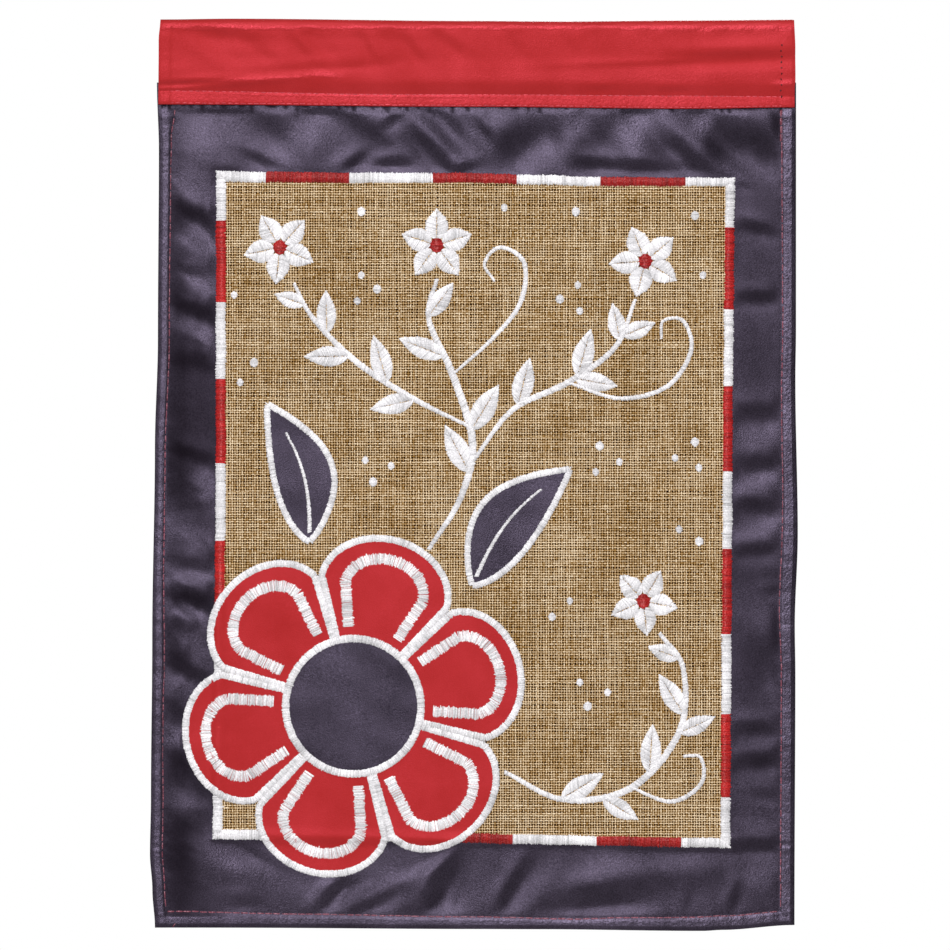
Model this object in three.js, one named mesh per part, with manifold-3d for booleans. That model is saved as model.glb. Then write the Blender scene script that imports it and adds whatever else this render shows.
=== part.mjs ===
// A garden flag that hangs by a rod pocket: a navy satin field under a red satin sleeve, with a burlap panel
// and an applique flower sewn to its front. Millimetres, +Z up. The front faces -Y, the flag hangs down along
// -Z, and the origin is at the middle of the sleeve's top edge.

import * as THREE from 'three';
import { mergeVertices } from 'three/addons/utils/BufferGeometryUtils.js';
import Module from 'manifold-3d';

const wasm = await Module();
wasm.setup();

// Driving dimensions

const FLAG_WIDTH = 320;
const FLAG_HEIGHT = 457.2;
const CLOTH = 1;
const GAP = 0.3;

const HEM_WIDTH = 7;
const HEM_FOLD = 1.2;
const HEM_STEP = 0.6;
const HEM_START = -45.6;

const FIELD_TOP = -31;
const BAND_TOP = -37.6;
const BAND_FOOT = -43.3;

const PANEL_LEFT = -131.2;
const PANEL_RIGHT = 129.2;
const PANEL_TOP = -77;
const PANEL_FOOT = -414.5;
const BORDER_OVERHANG = 1.3;

const PETALS = 6;
const FLOWER_X = -62;
const FLOWER_Z = -345;
const FLOWER_TURN = 15;
const PETAL_INNER = 25;
const PETAL_SHOULDER = 60;
const PETAL_TIP = 86;
const PETAL_HALF_ANGLE = 28.4;
const CENTRE_RADIUS = 34;

// Where each raised layer starts in front of the field's middle surface

const FIELD_FRONT = CLOTH / 2;
const PANEL_BACK = FIELD_FRONT + GAP;
const APPLIQUE_BACK = PANEL_BACK + CLOTH + GAP;
const CENTRE_BACK = APPLIQUE_BACK + CLOTH + GAP;

// Uneven edges: how far each edge strays from the plain rectangle at a place along it

const sleeveLeft = [
  { z: 0, out: 0.9 },
  { z: -10, out: 0.1 },
  { z: -43, out: -0.1 },
];
const sleeveRight = [
  { z: 0, out: -0.1 },
  { z: -14, out: 0.4 },
  { z: -43, out: 0.9 },
];
const sleeveTop = [
  { x: -160, out: 0.75 },
  { x: -124, out: 1.15 },
  { x: 0, out: 0 },
  { x: 42, out: -0.25 },
  { x: 107, out: 0.25 },
  { x: 160, out: 0.65 },
];
const bandFoot = [
  { x: -160, out: 1.2 },
  { x: 0, out: 0 },
  { x: 107, out: -1 },
  { x: 160, out: -0.3 },
];
const fieldLeft = [
  { z: -31, out: -0.9 },
  { z: -65, out: 0.1 },
  { z: -160, out: -0.4 },
  { z: -216, out: -1.9 },
  { z: -312, out: -3.2 },
  { z: -392, out: -3.9 },
  { z: -420, out: -4.4 },
  { z: -438, out: -3.2 },
  { z: -457, out: -1.9 },
];
const fieldRight = [
  { z: -31, out: 0.9 },
  { z: -156, out: 0.9 },
  { z: -181, out: 0.6 },
  { z: -259, out: 1.8 },
  { z: -306, out: 0.3 },
  { z: -330, out: 0.6 },
  { z: -457, out: 0.2 },
];
const fieldFoot = [
  { x: -160, out: 0.7 },
  { x: 0, out: 0 },
  { x: 32, out: -0.1 },
  { x: 114, out: -1 },
  { x: 124, out: -0.5 },
  { x: 160, out: 1.9 },
];

// The panel's corners, which lean as the sewn panel does

const panelCorners = [
  { x: PANEL_LEFT, z: PANEL_TOP + 1.6 },
  { x: PANEL_RIGHT + 1, z: PANEL_TOP - 1.9 },
  { x: PANEL_RIGHT - 1.3, z: PANEL_FOOT - 2 },
  { x: PANEL_LEFT - 1.8, z: PANEL_FOOT + 2.4 },
];

// Soft waves of the whole hanging cloth: how far it comes forward, and over what length

const waves = [
  { along: 'x', length: 236, shift: 38, forward: 1.1 },
  { along: 'x', length: 131, shift: -20, forward: 0.35 },
  { along: 'z', length: 305, shift: 20, forward: 0.8 },
];
const WAVE_START = -40;
const WAVE_FULL = -330;
const FOLD_FULL = -54;

// Main folds: each is a soft ridge (or trough, where forward is negative) centred at x, z and running at an
// angle in degrees from level. length is along the fold and width across it.

const topMarginFolds = [
  { x: -138, z: -60, angle: 80, length: 26, width: 8, forward: 0.9 },
  { x: -104, z: -54, angle: -58, length: 22, width: 8, forward: -1 },
  { x: -81, z: -60, angle: 70, length: 24, width: 8, forward: 0.8 },
  { x: -55, z: -56, angle: -36, length: 38, width: 7, forward: -1 },
  { x: -22, z: -62, angle: -50, length: 30, width: 7, forward: -0.9 },
  { x: 2, z: -58, angle: -70, length: 26, width: 7, forward: 0.8 },
  { x: 17, z: -63, angle: -62, length: 24, width: 7, forward: -0.9 },
  { x: 42, z: -56, angle: 75, length: 22, width: 7, forward: 0.7 },
  { x: 72, z: -70, angle: 10, length: 40, width: 6, forward: -0.8 },
  { x: 102, z: -64, angle: 24, length: 34, width: 7, forward: -0.9 },
  { x: 134, z: -62, angle: 30, length: 36, width: 8, forward: -1 },
];
const leftMarginFolds = [
  { x: -142, z: -96, angle: 4, length: 24, width: 7, forward: 0.9 },
  { x: -142, z: -142, angle: -5, length: 24, width: 7, forward: 0.8 },
  { x: -142, z: -170, angle: 0, length: 26, width: 11, forward: -1 },
  { x: -142, z: -216, angle: 6, length: 24, width: 6, forward: 0.7 },
  { x: -143, z: -261, angle: -6, length: 24, width: 7, forward: 0.7 },
  { x: -143, z: -290, angle: 5, length: 24, width: 6, forward: -0.6 },
  { x: -144, z: -336, angle: 0, length: 24, width: 9, forward: 1 },
  { x: -144, z: -366, angle: 8, length: 24, width: 8, forward: 0.8 },
  { x: -144, z: -390, angle: -8, length: 24, width: 6, forward: -0.6 },
];
const rightMarginFolds = [
  { x: 142, z: -104, angle: 5, length: 24, width: 7, forward: -0.9 },
  { x: 142, z: -139, angle: -4, length: 24, width: 6, forward: -0.7 },
  { x: 142, z: -198, angle: 0, length: 24, width: 9, forward: -1 },
  { x: 142, z: -222, angle: 6, length: 24, width: 7, forward: 0.7 },
  { x: 142, z: -244, angle: -5, length: 24, width: 6, forward: -0.7 },
  { x: 142, z: -289, angle: 0, length: 24, width: 7, forward: 0.9 },
  { x: 142, z: -373, angle: 4, length: 24, width: 8, forward: -0.8 },
  { x: 142, z: -415, angle: -6, length: 24, width: 8, forward: -0.8 },
];
const footMarginFolds = [
  { x: -113, z: -428, angle: 0, length: 46, width: 8, forward: 0.9 },
  { x: -74, z: -438, angle: -54, length: 26, width: 7, forward: -0.9 },
  { x: -45, z: -431, angle: -14, length: 40, width: 7, forward: 0.8 },
  { x: -17, z: -435, angle: -60, length: 26, width: 7, forward: -0.9 },
  { x: 14, z: -435, angle: -66, length: 22, width: 6, forward: -0.8 },
  { x: 62, z: -441, angle: 4, length: 40, width: 8, forward: -0.9 },
  { x: 102, z: -426, angle: 0, length: 40, width: 8, forward: 0.8 },
  { x: 130, z: -437, angle: -50, length: 22, width: 7, forward: -0.8 },
];
const folds = [...topMarginFolds, ...leftMarginFolds, ...rightMarginFolds, ...footMarginFolds];

// The sleeve's section, from the top fold down one flap: how far down and how far out its outer face lies

const sleeveSection = [
  { drop: 0, bulge: 0 },
  { drop: 1.1, bulge: 1.8 },
  { drop: 4, bulge: 3.2 },
  { drop: 11, bulge: 3.9 },
  { drop: 20, bulge: 3.9 },
  { drop: 28, bulge: 3.6 },
  { drop: 33.5, bulge: 2.6 },
  { drop: -BAND_TOP, bulge: FIELD_FRONT + GAP + CLOTH },
  { drop: -BAND_FOOT, bulge: FIELD_FRONT + GAP + CLOTH },
];

// Creases pressed into the sleeve's front flap

const sleeveCreases = [
  { x: -115, z: -28.5, angle: 4.5, length: 92, width: 3.5, forward: 0.5 },
  { x: 101, z: -20, angle: 1.8, length: 118, width: 5, forward: 0.45 },
  { x: -60, z: -9, angle: -2, length: 70, width: 4, forward: -0.35 },
];

// Applique leaves: where each starts, the way it points in degrees, and its size

const leaves = [
  { name: 'leaf_1', x: -2, z: -284, angle: 50, length: 76, bend: 7, halfWidth: 15.5 },
  { name: 'leaf_2', x: -84, z: -262, angle: 107, length: 72, bend: -7, halfWidth: 15 },
];

const finishes = {
  navySatin: { color: 0x3d3850, roughness: 0.45 },
  redSatin: { color: 0xc4303c, roughness: 0.45 },
  burlap: { color: 0xb4966c, roughness: 0.95 },
};

// Small helpers

function radians(degrees) {
  return THREE.MathUtils.degToRad(degrees);
}

// Reads a table of uneven edge rows at a place, easing from each row to the next.
function stray(table, key, at) {
  const rows = [...table].sort((a, b) => a[key] - b[key]);
  if (at <= rows[0][key]) return rows[0].out;
  const next = rows.findIndex((row) => row[key] >= at);
  if (next < 0) return rows[rows.length - 1].out;
  const from = rows[next - 1];
  const to = rows[next];
  const share = THREE.MathUtils.smoothstep(at, from[key], to[key]);
  return THREE.MathUtils.lerp(from.out, to.out, share);
}

// Evenly spaced lines from one place to another, both ends included.
function linesBetween(from, to, count) {
  return Array.from({ length: count + 1 }, (_, i) => THREE.MathUtils.lerp(from, to, i / count));
}

// A soft ridge: one across its middle, fading to nothing at its width and its ends.
function ridge(row, x, z) {
  const turn = radians(row.angle);
  const along = (x - row.x) * Math.cos(turn) + (z - row.z) * Math.sin(turn);
  const across = (z - row.z) * Math.cos(turn) - (x - row.x) * Math.sin(turn);
  const fade = (2 * along) / row.length;
  const spread = across / (row.width * 0.6);
  return row.forward * Math.exp(-(spread ** 2)) * Math.exp(-(fade ** 4));
}

// How far forward the cloth's middle surface lies at a place on the flag. The waves grow down the flag, and the
// stitched band holds the folds flat.
function forward(x, z) {
  const growth = THREE.MathUtils.smoothstep(-z, -WAVE_START, -WAVE_FULL);
  const release = THREE.MathUtils.smoothstep(-z, -BAND_FOOT, -FOLD_FULL);
  let sum = 0;
  for (const wave of waves) {
    const at = wave.along === 'x' ? x : z;
    sum += growth * wave.forward * Math.cos((2 * Math.PI * (at - wave.shift)) / wave.length);
  }
  for (const row of folds) sum += release * ridge(row, x, z);
  return sum;
}

// A closed sheet over a lattice: place(i, j, side) gives a corner on the outer (0) or inner (1) face. Seen
// from outside, i runs to the right and j runs down.
function sheetGeometry(across, down, place) {
  const corners = [];
  const triangles = [];
  const index = (i, j, side) => (side * across + i) * down + j;
  const quad = (a, b, c, d) => triangles.push(a, b, c, a, c, d);
  for (const side of [0, 1]) {
    for (let i = 0; i < across; i += 1) {
      for (let j = 0; j < down; j += 1) corners.push(...place(i, j, side).toArray());
    }
  }
  for (let i = 0; i + 1 < across; i += 1) {
    for (let j = 0; j + 1 < down; j += 1) {
      quad(index(i, j, 0), index(i, j + 1, 0), index(i + 1, j + 1, 0), index(i + 1, j, 0));
      quad(index(i, j, 1), index(i + 1, j, 1), index(i + 1, j + 1, 1), index(i, j + 1, 1));
    }
  }
  for (let i = 0; i + 1 < across; i += 1) {
    const last = down - 1;
    quad(index(i, 0, 0), index(i + 1, 0, 0), index(i + 1, 0, 1), index(i, 0, 1));
    quad(index(i, last, 0), index(i, last, 1), index(i + 1, last, 1), index(i + 1, last, 0));
  }
  for (let j = 0; j + 1 < down; j += 1) {
    const last = across - 1;
    quad(index(0, j, 0), index(0, j, 1), index(0, j + 1, 1), index(0, j + 1, 0));
    quad(index(last, j, 0), index(last, j + 1, 0), index(last, j + 1, 1), index(last, j, 1));
  }
  const geometry = new THREE.BufferGeometry();
  geometry.setAttribute('position', new THREE.Float32BufferAttribute(corners, 3));
  geometry.setIndex(triangles);
  return geometry;
}

function toSolid(geometry) {
  const bare = geometry.clone();
  bare.deleteAttribute('normal');
  bare.deleteAttribute('uv');
  const merged = mergeVertices(bare);
  const vertProperties = new Float32Array(merged.attributes.position.array);
  const triVerts = new Uint32Array(merged.index.array);
  return new wasm.Manifold(new wasm.Mesh({ numProp: 3, vertProperties, triVerts }));
}

function toGeometry(solid) {
  const mesh = solid.getMesh();
  const geometry = new THREE.BufferGeometry();
  geometry.setAttribute('position', new THREE.Float32BufferAttribute(mesh.vertProperties, 3));
  geometry.setIndex([...mesh.triVerts]);
  return geometry;
}

// A straight-sided block that an outline, drawn in x and z, cuts right through the flag.
function cutter(outline, curveSegments) {
  const depth = 60;
  const geometry = new THREE.ExtrudeGeometry(outline, { depth, curveSegments, bevelEnabled: false });
  geometry.rotateX(Math.PI / 2);
  geometry.translate(0, depth / 2, 0);
  return toSolid(geometry);
}

// Lattice lines. The hem's inner edge has two lines close together, where the cloth's back steps out. The
// lines are closer in the margins, where the main folds are.

const PANEL_COLUMNS = 17;
const PANEL_ROWS = 20;
const MARGIN_ROWS = 4;
const LINE_REACH = 18;

const hemLine = FLAG_WIDTH / 2 - HEM_WIDTH;
const marginLine = (hemLine - HEM_STEP - PANEL_LEFT) / 2;
const panelLines = linesBetween(PANEL_LEFT, -PANEL_LEFT, PANEL_COLUMNS);
const columns = [
  -FLAG_WIDTH / 2,
  -hemLine,
  -hemLine + HEM_STEP,
  -marginLine,
  ...panelLines,
  marginLine,
  hemLine - HEM_STEP,
  hemLine,
  FLAG_WIDTH / 2,
];

const footHemLine = -FLAG_HEIGHT + HEM_WIDTH;
const hemTopLine = HEM_START - HEM_STEP;
const rows = [
  FIELD_TOP,
  BAND_TOP,
  BAND_FOOT,
  HEM_START,
  ...linesBetween(hemTopLine, PANEL_TOP, MARGIN_ROWS),
  ...linesBetween(PANEL_TOP, PANEL_FOOT, PANEL_ROWS).slice(1),
  ...linesBetween(PANEL_FOOT, footHemLine + HEM_STEP, MARGIN_ROWS).slice(1),
  footHemLine,
  -FLAG_HEIGHT,
];

// A lattice crossing, moved with the field's uneven edges.
function fieldSpot(column, row) {
  const right = column / FLAG_WIDTH + 0.5;
  const low = (FIELD_TOP - row) / (FIELD_TOP + FLAG_HEIGHT);
  const sideways = THREE.MathUtils.lerp(stray(fieldLeft, 'z', row), stray(fieldRight, 'z', row), right);
  const x = column + sideways;
  const z = row + low * stray(fieldFoot, 'x', column);
  return { x, z };
}

// A point in front of the cloth's middle surface by a given height.
function raised(spot, height) {
  return new THREE.Vector3(spot.x, -forward(spot.x, spot.z) - height, spot.z);
}

function isHem(column, row) {
  const atSide = Math.abs(column) >= hemLine;
  const atFoot = row <= footHemLine;
  return row <= hemTopLine && (atSide || atFoot);
}

// The navy ground cloth with its hems turned to the back.
function fieldGeometry() {
  return sheetGeometry(columns.length, rows.length, (i, j, side) => {
    const hemmed = isHem(columns[i], rows[j]);
    const back = -FIELD_FRONT - (hemmed ? HEM_FOLD : 0);
    return raised(fieldSpot(columns[i], rows[j]), side === 0 ? FIELD_FRONT : back);
  });
}

// The red strip folded over the rod: up the back flap, over the top fold and down the front flap.
function sleeveGeometry() {
  const flap = sleeveSection.slice(1);
  const back = flap.map((row) => ({ drop: row.drop, out: -row.bulge })).reverse();
  const front = flap.map((row) => ({ drop: row.drop, out: row.bulge }));
  const path = [...back, { drop: 0, out: 0 }, ...front];
  const outward = path.map((row, k) => {
    const before = path[Math.max(k - 1, 0)];
    const after = path[Math.min(k + 1, path.length - 1)];
    const run = new THREE.Vector2(after.out - before.out, before.drop - after.drop).normalize();
    const flat = row.drop >= -BAND_TOP;
    return flat ? new THREE.Vector2(Math.sign(row.out), 0) : new THREE.Vector2(-run.y, run.x);
  });
  return sheetGeometry(columns.length, path.length, (i, k, side) => {
    const inset = side === 0 ? 0 : CLOTH;
    const out = path[k].out - inset * outward[k].x;
    const drop = path[k].drop + inset * outward[k].y;
    const low = drop / -BAND_FOOT;
    const right = columns[i] / FLAG_WIDTH + 0.5;
    const edge = stray(sleeveTop, 'x', columns[i]);
    const foot = stray(bandFoot, 'x', columns[i]);
    const z = -drop + THREE.MathUtils.lerp(edge, foot, low);
    const sideways = THREE.MathUtils.lerp(stray(sleeveLeft, 'z', z), stray(sleeveRight, 'z', z), right);
    const x = columns[i] + sideways;
    const onFront = path[k].out > 0 ? 1 : 0;
    const creased = sleeveCreases.reduce((sum, row) => sum + ridge(row, x, z), 0);
    return raised({ x, z }, out + onFront * creased);
  });
}

// A sheet that lies in front of the field, parallel to it, and is cut to an outline.
function layerGeometry(outline, back, reach, curveSegments) {
  const wide = columns.filter((x) => x > reach.left - LINE_REACH && x < reach.right + LINE_REACH);
  const tall = rows.filter((z) => z > reach.foot - LINE_REACH && z < reach.top + LINE_REACH);
  const sheet = sheetGeometry(wide.length, tall.length, (i, j, side) => {
    return raised(fieldSpot(wide[i], tall[j]), side === 0 ? back + CLOTH : back);
  });
  return toGeometry(toSolid(sheet).intersect(cutter(outline, curveSegments)));
}

function reachOf(outline) {
  const box = new THREE.Box2().setFromPoints(outline.getPoints());
  return { left: box.min.x, right: box.max.x, foot: box.min.y, top: box.max.y };
}

// The burlap's cut edge lies under the stitched border, a little inside the border's outer line.
function panelOutline() {
  const inward = [
    [1, -1],
    [-1, -1],
    [-1, 1],
    [1, 1],
  ];
  const points = panelCorners.map((corner, n) => {
    const [toRight, toTop] = inward[n];
    return new THREE.Vector2(corner.x + toRight * BORDER_OVERHANG, corner.z + toTop * BORDER_OVERHANG);
  });
  return new THREE.Shape(points);
}

// One petal: straight sides that fan out from the flower's middle to its shoulders, and a half-oval end.
function petalOutline(turn) {
  const side = radians(PETAL_HALF_ANGLE);
  const shoulder = PETAL_SHOULDER * Math.tan(side);
  const inner = PETAL_INNER * Math.tan(side);
  const reach = PETAL_TIP - PETAL_SHOULDER;
  const oval = new THREE.EllipseCurve(0, 0, reach, shoulder, -Math.PI / 2, Math.PI / 2);
  const end = oval.getPoints(14).map((p) => new THREE.Vector2(p.x + PETAL_SHOULDER, p.y));
  const local = [new THREE.Vector2(PETAL_INNER, -inner), ...end, new THREE.Vector2(PETAL_INNER, inner)];
  const middle = new THREE.Vector2(FLOWER_X, FLOWER_Z);
  const origin = new THREE.Vector2(0, 0);
  return new THREE.Shape(local.map((p) => p.clone().rotateAround(origin, radians(turn)).add(middle)));
}

function centreOutline() {
  return new THREE.Shape().absarc(FLOWER_X, FLOWER_Z, CENTRE_RADIUS, 0, 2 * Math.PI);
}

// A leaf: a bent middle line, with a width that swells and closes again along it.
function leafOutline(leaf) {
  const steps = 11;
  const turn = radians(leaf.angle);
  const onLeaf = (share, sign) => {
    const along = leaf.length * share;
    const swell = leaf.halfWidth * Math.sin(Math.PI * share ** 0.85) ** 0.9;
    const across = leaf.bend * Math.sin(Math.PI * share) + sign * swell;
    const x = leaf.x + along * Math.cos(turn) - across * Math.sin(turn);
    const z = leaf.z + along * Math.sin(turn) + across * Math.cos(turn);
    return new THREE.Vector2(x, z);
  };
  const shares = linesBetween(0, 1, steps);
  const lower = shares.map((share) => onLeaf(share, -1));
  const upper = shares.slice(1, -1).reverse().map((share) => onLeaf(share, 1));
  return new THREE.Shape([...lower, ...upper]);
}

// Assembly

const group = new THREE.Group();

function addPiece(name, geometry, finish) {
  const material = new THREE.MeshStandardMaterial({ ...finishes[finish], metalness: 0 });
  geometry.computeVertexNormals();
  const mesh = new THREE.Mesh(geometry, material);
  mesh.name = name;
  group.add(mesh);
}

addPiece('field', fieldGeometry(), 'navySatin');
addPiece('sleeve', sleeveGeometry(), 'redSatin');

const panel = panelOutline();
addPiece('burlap_panel', layerGeometry(panel, PANEL_BACK, reachOf(panel), 1), 'burlap');

for (let n = 1; n <= PETALS; n += 1) {
  const outline = petalOutline(FLOWER_TURN + ((n - 1) * 360) / PETALS);
  addPiece(`petal_${n}`, layerGeometry(outline, APPLIQUE_BACK, reachOf(outline), 1), 'redSatin');
}

const centre = centreOutline();
addPiece('flower_centre', layerGeometry(centre, CENTRE_BACK, reachOf(centre), 24), 'navySatin');

for (const leaf of leaves) {
  const outline = leafOutline(leaf);
  addPiece(leaf.name, layerGeometry(outline, APPLIQUE_BACK, reachOf(outline), 1), 'navySatin');
}

export default group;
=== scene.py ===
# %% [markdown]
# # A garden flag in satin, burlap and stitches
# The flag hangs from a rod pocket: a navy satin ground cloth, a red satin sleeve along its top, a burlap panel
# inside a stitched border, and a flower sewn on in cut pieces of cloth. The cells build it from back to front,
# the way it is sewn. Every surface is a grid of points that numpy works out as whole arrays.
#
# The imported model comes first. It is the frame that every piece fits, so its box is kept for the last cell.

# %% Load the frame
import math

import bpy
import numpy as np
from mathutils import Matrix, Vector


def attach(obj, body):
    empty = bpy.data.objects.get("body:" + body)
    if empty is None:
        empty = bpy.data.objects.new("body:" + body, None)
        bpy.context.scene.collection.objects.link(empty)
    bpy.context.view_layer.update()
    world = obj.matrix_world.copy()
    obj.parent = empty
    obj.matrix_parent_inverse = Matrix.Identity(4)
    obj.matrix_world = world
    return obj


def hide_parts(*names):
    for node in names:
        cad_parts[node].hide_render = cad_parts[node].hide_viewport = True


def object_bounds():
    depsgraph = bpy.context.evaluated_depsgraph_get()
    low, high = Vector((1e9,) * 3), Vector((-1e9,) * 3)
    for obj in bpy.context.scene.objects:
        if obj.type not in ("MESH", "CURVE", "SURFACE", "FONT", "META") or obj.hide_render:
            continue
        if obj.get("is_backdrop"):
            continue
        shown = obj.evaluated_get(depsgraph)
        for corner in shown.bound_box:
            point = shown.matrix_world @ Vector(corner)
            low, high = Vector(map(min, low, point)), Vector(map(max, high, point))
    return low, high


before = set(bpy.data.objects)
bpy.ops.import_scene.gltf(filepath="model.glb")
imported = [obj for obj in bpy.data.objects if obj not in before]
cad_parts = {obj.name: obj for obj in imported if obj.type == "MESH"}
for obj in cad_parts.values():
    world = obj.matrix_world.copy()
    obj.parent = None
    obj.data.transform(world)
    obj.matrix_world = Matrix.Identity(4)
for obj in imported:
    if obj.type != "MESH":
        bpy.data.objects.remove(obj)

cad_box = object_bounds()
MM = 0.001
print("frame box in metres:", [[round(v, 4) for v in corner] for corner in cad_box])

# %% [markdown]
# ## Sizes
# All sizes are in millimetres and become metres when a mesh is made. X runs to the right, Z up, and the front
# faces -Y, so a "height" here is how far a point stands in front of the cloth's middle surface, towards -Y.
# Real satin is about 0.3 mm thick. The heights below stack the layers as they are sewn.

# %% Sizes of the flag
FLAG_WIDTH = 320
FLAG_HEIGHT = 457.2
FIELD_TOP = -31
BAND_FOOT = -43.3
HEM_WIDTH = 7.2

SATIN = 0.3
FIELD_FACE = SATIN / 2
BURLAP_MIDDLE = 0.8
YARN_WAVE = 0.2
PANEL_LIFT = 0.95
BORDER_LIFT = 0.75
APPLIQUE_LIFT = 0.35

BORDER_WIDTH = 5.2
FLOWER = np.array([-62.0, -345.0])
PETAL_TIP = 86
PANEL_CORNERS = {"left": -131.2, "right": 129.2, "top": -77, "foot": -414.5}

# %% [markdown]
# ## The shape in which the cloth hangs
# The flag isn't flat. Slow waves run through all of it, and its margins are puckered where the stitching pulls
# the satin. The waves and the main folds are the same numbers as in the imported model, so each cloth lies on its
# solid. The fine gathers are added here, because only the eye needs them.

# %% Uneven edges
FIELD_LEFT = {"z": [-457, -438, -420, -392, -312, -216, -160, -65, -31],
              "out": [-1.9, -3.2, -4.4, -3.9, -3.2, -1.9, -0.4, 0.1, -0.9]}
FIELD_RIGHT = {"z": [-457, -330, -306, -259, -181, -156, -31],
               "out": [0.2, 0.6, 0.3, 1.8, 0.6, 0.9, 0.9]}
FIELD_FOOT = {"x": [-160, 0, 32, 114, 124, 160], "out": [0.7, 0, -0.1, -1, -0.5, 1.9]}
SLEEVE_LEFT = {"z": [-43, -10, 0], "out": [-0.1, 0.1, 0.9]}
SLEEVE_RIGHT = {"z": [-43, -34, -30, -14, 0], "out": [0.1, 0.1, 0.5, 0.4, -0.1]}
SLEEVE_TOP = {"x": [-160, -124, 0, 42, 107, 160], "out": [0.75, 1.15, 0, -0.25, 0.25, 0.65]}
BAND_WAVE = {"x": [-160, 0, 107, 160], "out": [1.2, 0, -1, -0.3]}


def ease(t):
    """Goes from 0 to 1 with level ends: 3 t squared less 2 t cubed."""
    t = np.clip(t, 0, 1)
    return t * t * (3 - 2 * t)


def read(table, at):
    """Value of a table of two named columns at a place, eased from each row to the next."""
    places, values = (np.array(column, float) for column in table.values())
    row = np.clip(np.searchsorted(places, at) - 1, 0, len(places) - 2)
    share = (at - places[row]) / (places[row + 1] - places[row])
    return values[row] + (values[row + 1] - values[row]) * ease(share)


# %% Waves and main folds
# Columns: along, length, shift, forward
WAVES = [("x", 236, 38, 1.1), ("x", 131, -20, 0.35), ("z", 305, 20, 0.8)]
WAVE_START, WAVE_FULL, FOLD_FULL = -40, -330, -54

# Columns: x, z, angle in degrees, length, width, forward
MAIN_FOLDS = [
    (-138, -60, 80, 26, 8, 0.9), (-104, -54, -58, 22, 8, -1), (-81, -60, 70, 24, 8, 0.8),
    (-55, -56, -36, 38, 7, -1), (-22, -62, -50, 30, 7, -0.9), (2, -58, -70, 26, 7, 0.8),
    (17, -63, -62, 24, 7, -0.9), (42, -56, 75, 22, 7, 0.7), (72, -70, 10, 40, 6, -0.8),
    (102, -64, 24, 34, 7, -0.9), (134, -62, 30, 36, 8, -1),
    (-142, -96, 4, 24, 7, 0.9), (-142, -142, -5, 24, 7, 0.8), (-142, -170, 0, 26, 11, -1),
    (-142, -216, 6, 24, 6, 0.7), (-143, -261, -6, 24, 7, 0.7), (-143, -290, 5, 24, 6, -0.6),
    (-144, -336, 0, 24, 9, 1), (-144, -366, 8, 24, 8, 0.8), (-144, -390, -8, 24, 6, -0.6),
    (142, -104, 5, 24, 7, -0.9), (142, -139, -4, 24, 6, -0.7), (142, -198, 0, 24, 9, -1),
    (142, -222, 6, 24, 7, 0.7), (142, -244, -5, 24, 6, -0.7), (142, -289, 0, 24, 7, 0.9),
    (142, -373, 4, 24, 8, -0.8), (142, -415, -6, 24, 8, -0.8),
    (-113, -428, 0, 46, 8, 0.9), (-74, -438, -54, 26, 7, -0.9), (-45, -431, -14, 40, 7, 0.8),
    (-17, -435, -60, 26, 7, -0.9), (14, -435, -66, 22, 6, -0.8), (62, -441, 4, 40, 8, -0.9),
    (102, -426, 0, 40, 8, 0.8), (130, -437, -50, 22, 7, -0.8),
]


def ridges(table, x, z, sharp=1.0):
    """Sum of soft ridges. Each is its height, times a bell curve across its line, times a flat-topped bell
    along it, so it fades to nothing at its width and its ends. sharp above 1 flattens the narrow ones' tops
    and makes their sides steeper."""
    total = np.zeros(np.broadcast(x, z).shape)
    for x0, z0, angle, length, width, forward in table:
        turn = math.radians(angle)
        along = (x - x0) * math.cos(turn) + (z - z0) * math.sin(turn)
        across = (z - z0) * math.cos(turn) - (x - x0) * math.sin(turn)
        bell = ((across / (0.6 * width)) ** 2) ** (sharp if width < 20 else 1.0)
        total += forward * np.exp(-bell - (2 * along / length) ** 4)
    return total


def main_shape(x, z):
    """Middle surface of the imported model: cosines that grow down the flag, and the main folds."""
    growth = ease((z - WAVE_START) / (WAVE_FULL - WAVE_START))
    from_side = FLAG_WIDTH / 2 - np.abs(x)
    share = 0.1 + 0.1 * ease((from_side - HEM_WIDTH + 1) / 3)
    total = share * ease((z - BAND_FOOT) / (FOLD_FULL - BAND_FOOT)) * ridges(MAIN_FOLDS, x, z)
    for along, length, shift, forward in WAVES:
        at = x if along == "x" else z
        total = total + growth * forward * np.cos(2 * math.pi * (at - shift) / length)
    return total


# %% [markdown]
# ## Fine gathers
# Satin puckers most beside a seam: the thread takes up a little cloth, which has to go somewhere. So each
# seam gets a run of irregular ripples that are highest at the seam and die away from it. A ripple is a sum of
# sines whose lengths don't fit each other, so it never seems to repeat.

# %% Ripples and the panel's outline
def ripple(along, lengths, seed):
    """A sum of sines of the given lengths with seeded phases, about -1 to 1."""
    phases = np.random.default_rng(seed).uniform(0, 2 * math.pi, len(lengths))
    waves = [np.sin(2 * math.pi * along / length + phase) for length, phase in zip(lengths, phases)]
    return sum(waves) / math.sqrt(len(lengths))


def inside_panel(x, z):
    """How far a point lies inside the border's outer line, negative outside. The four lines lean a little."""
    left = PANEL_CORNERS["left"] + 1.8 * (z - PANEL_CORNERS["top"]) / 337
    right = PANEL_CORNERS["right"] + 1 + 2.3 * (z - PANEL_CORNERS["top"]) / 337
    top = PANEL_CORNERS["top"] + 1.6 - 3.5 * (x - PANEL_CORNERS["left"]) / 260
    foot = PANEL_CORNERS["foot"] + 2.4 - 4.4 * (x - PANEL_CORNERS["left"]) / 260
    return np.minimum(np.minimum(x - left, right - x), np.minimum(top - z, z - foot))


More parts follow.
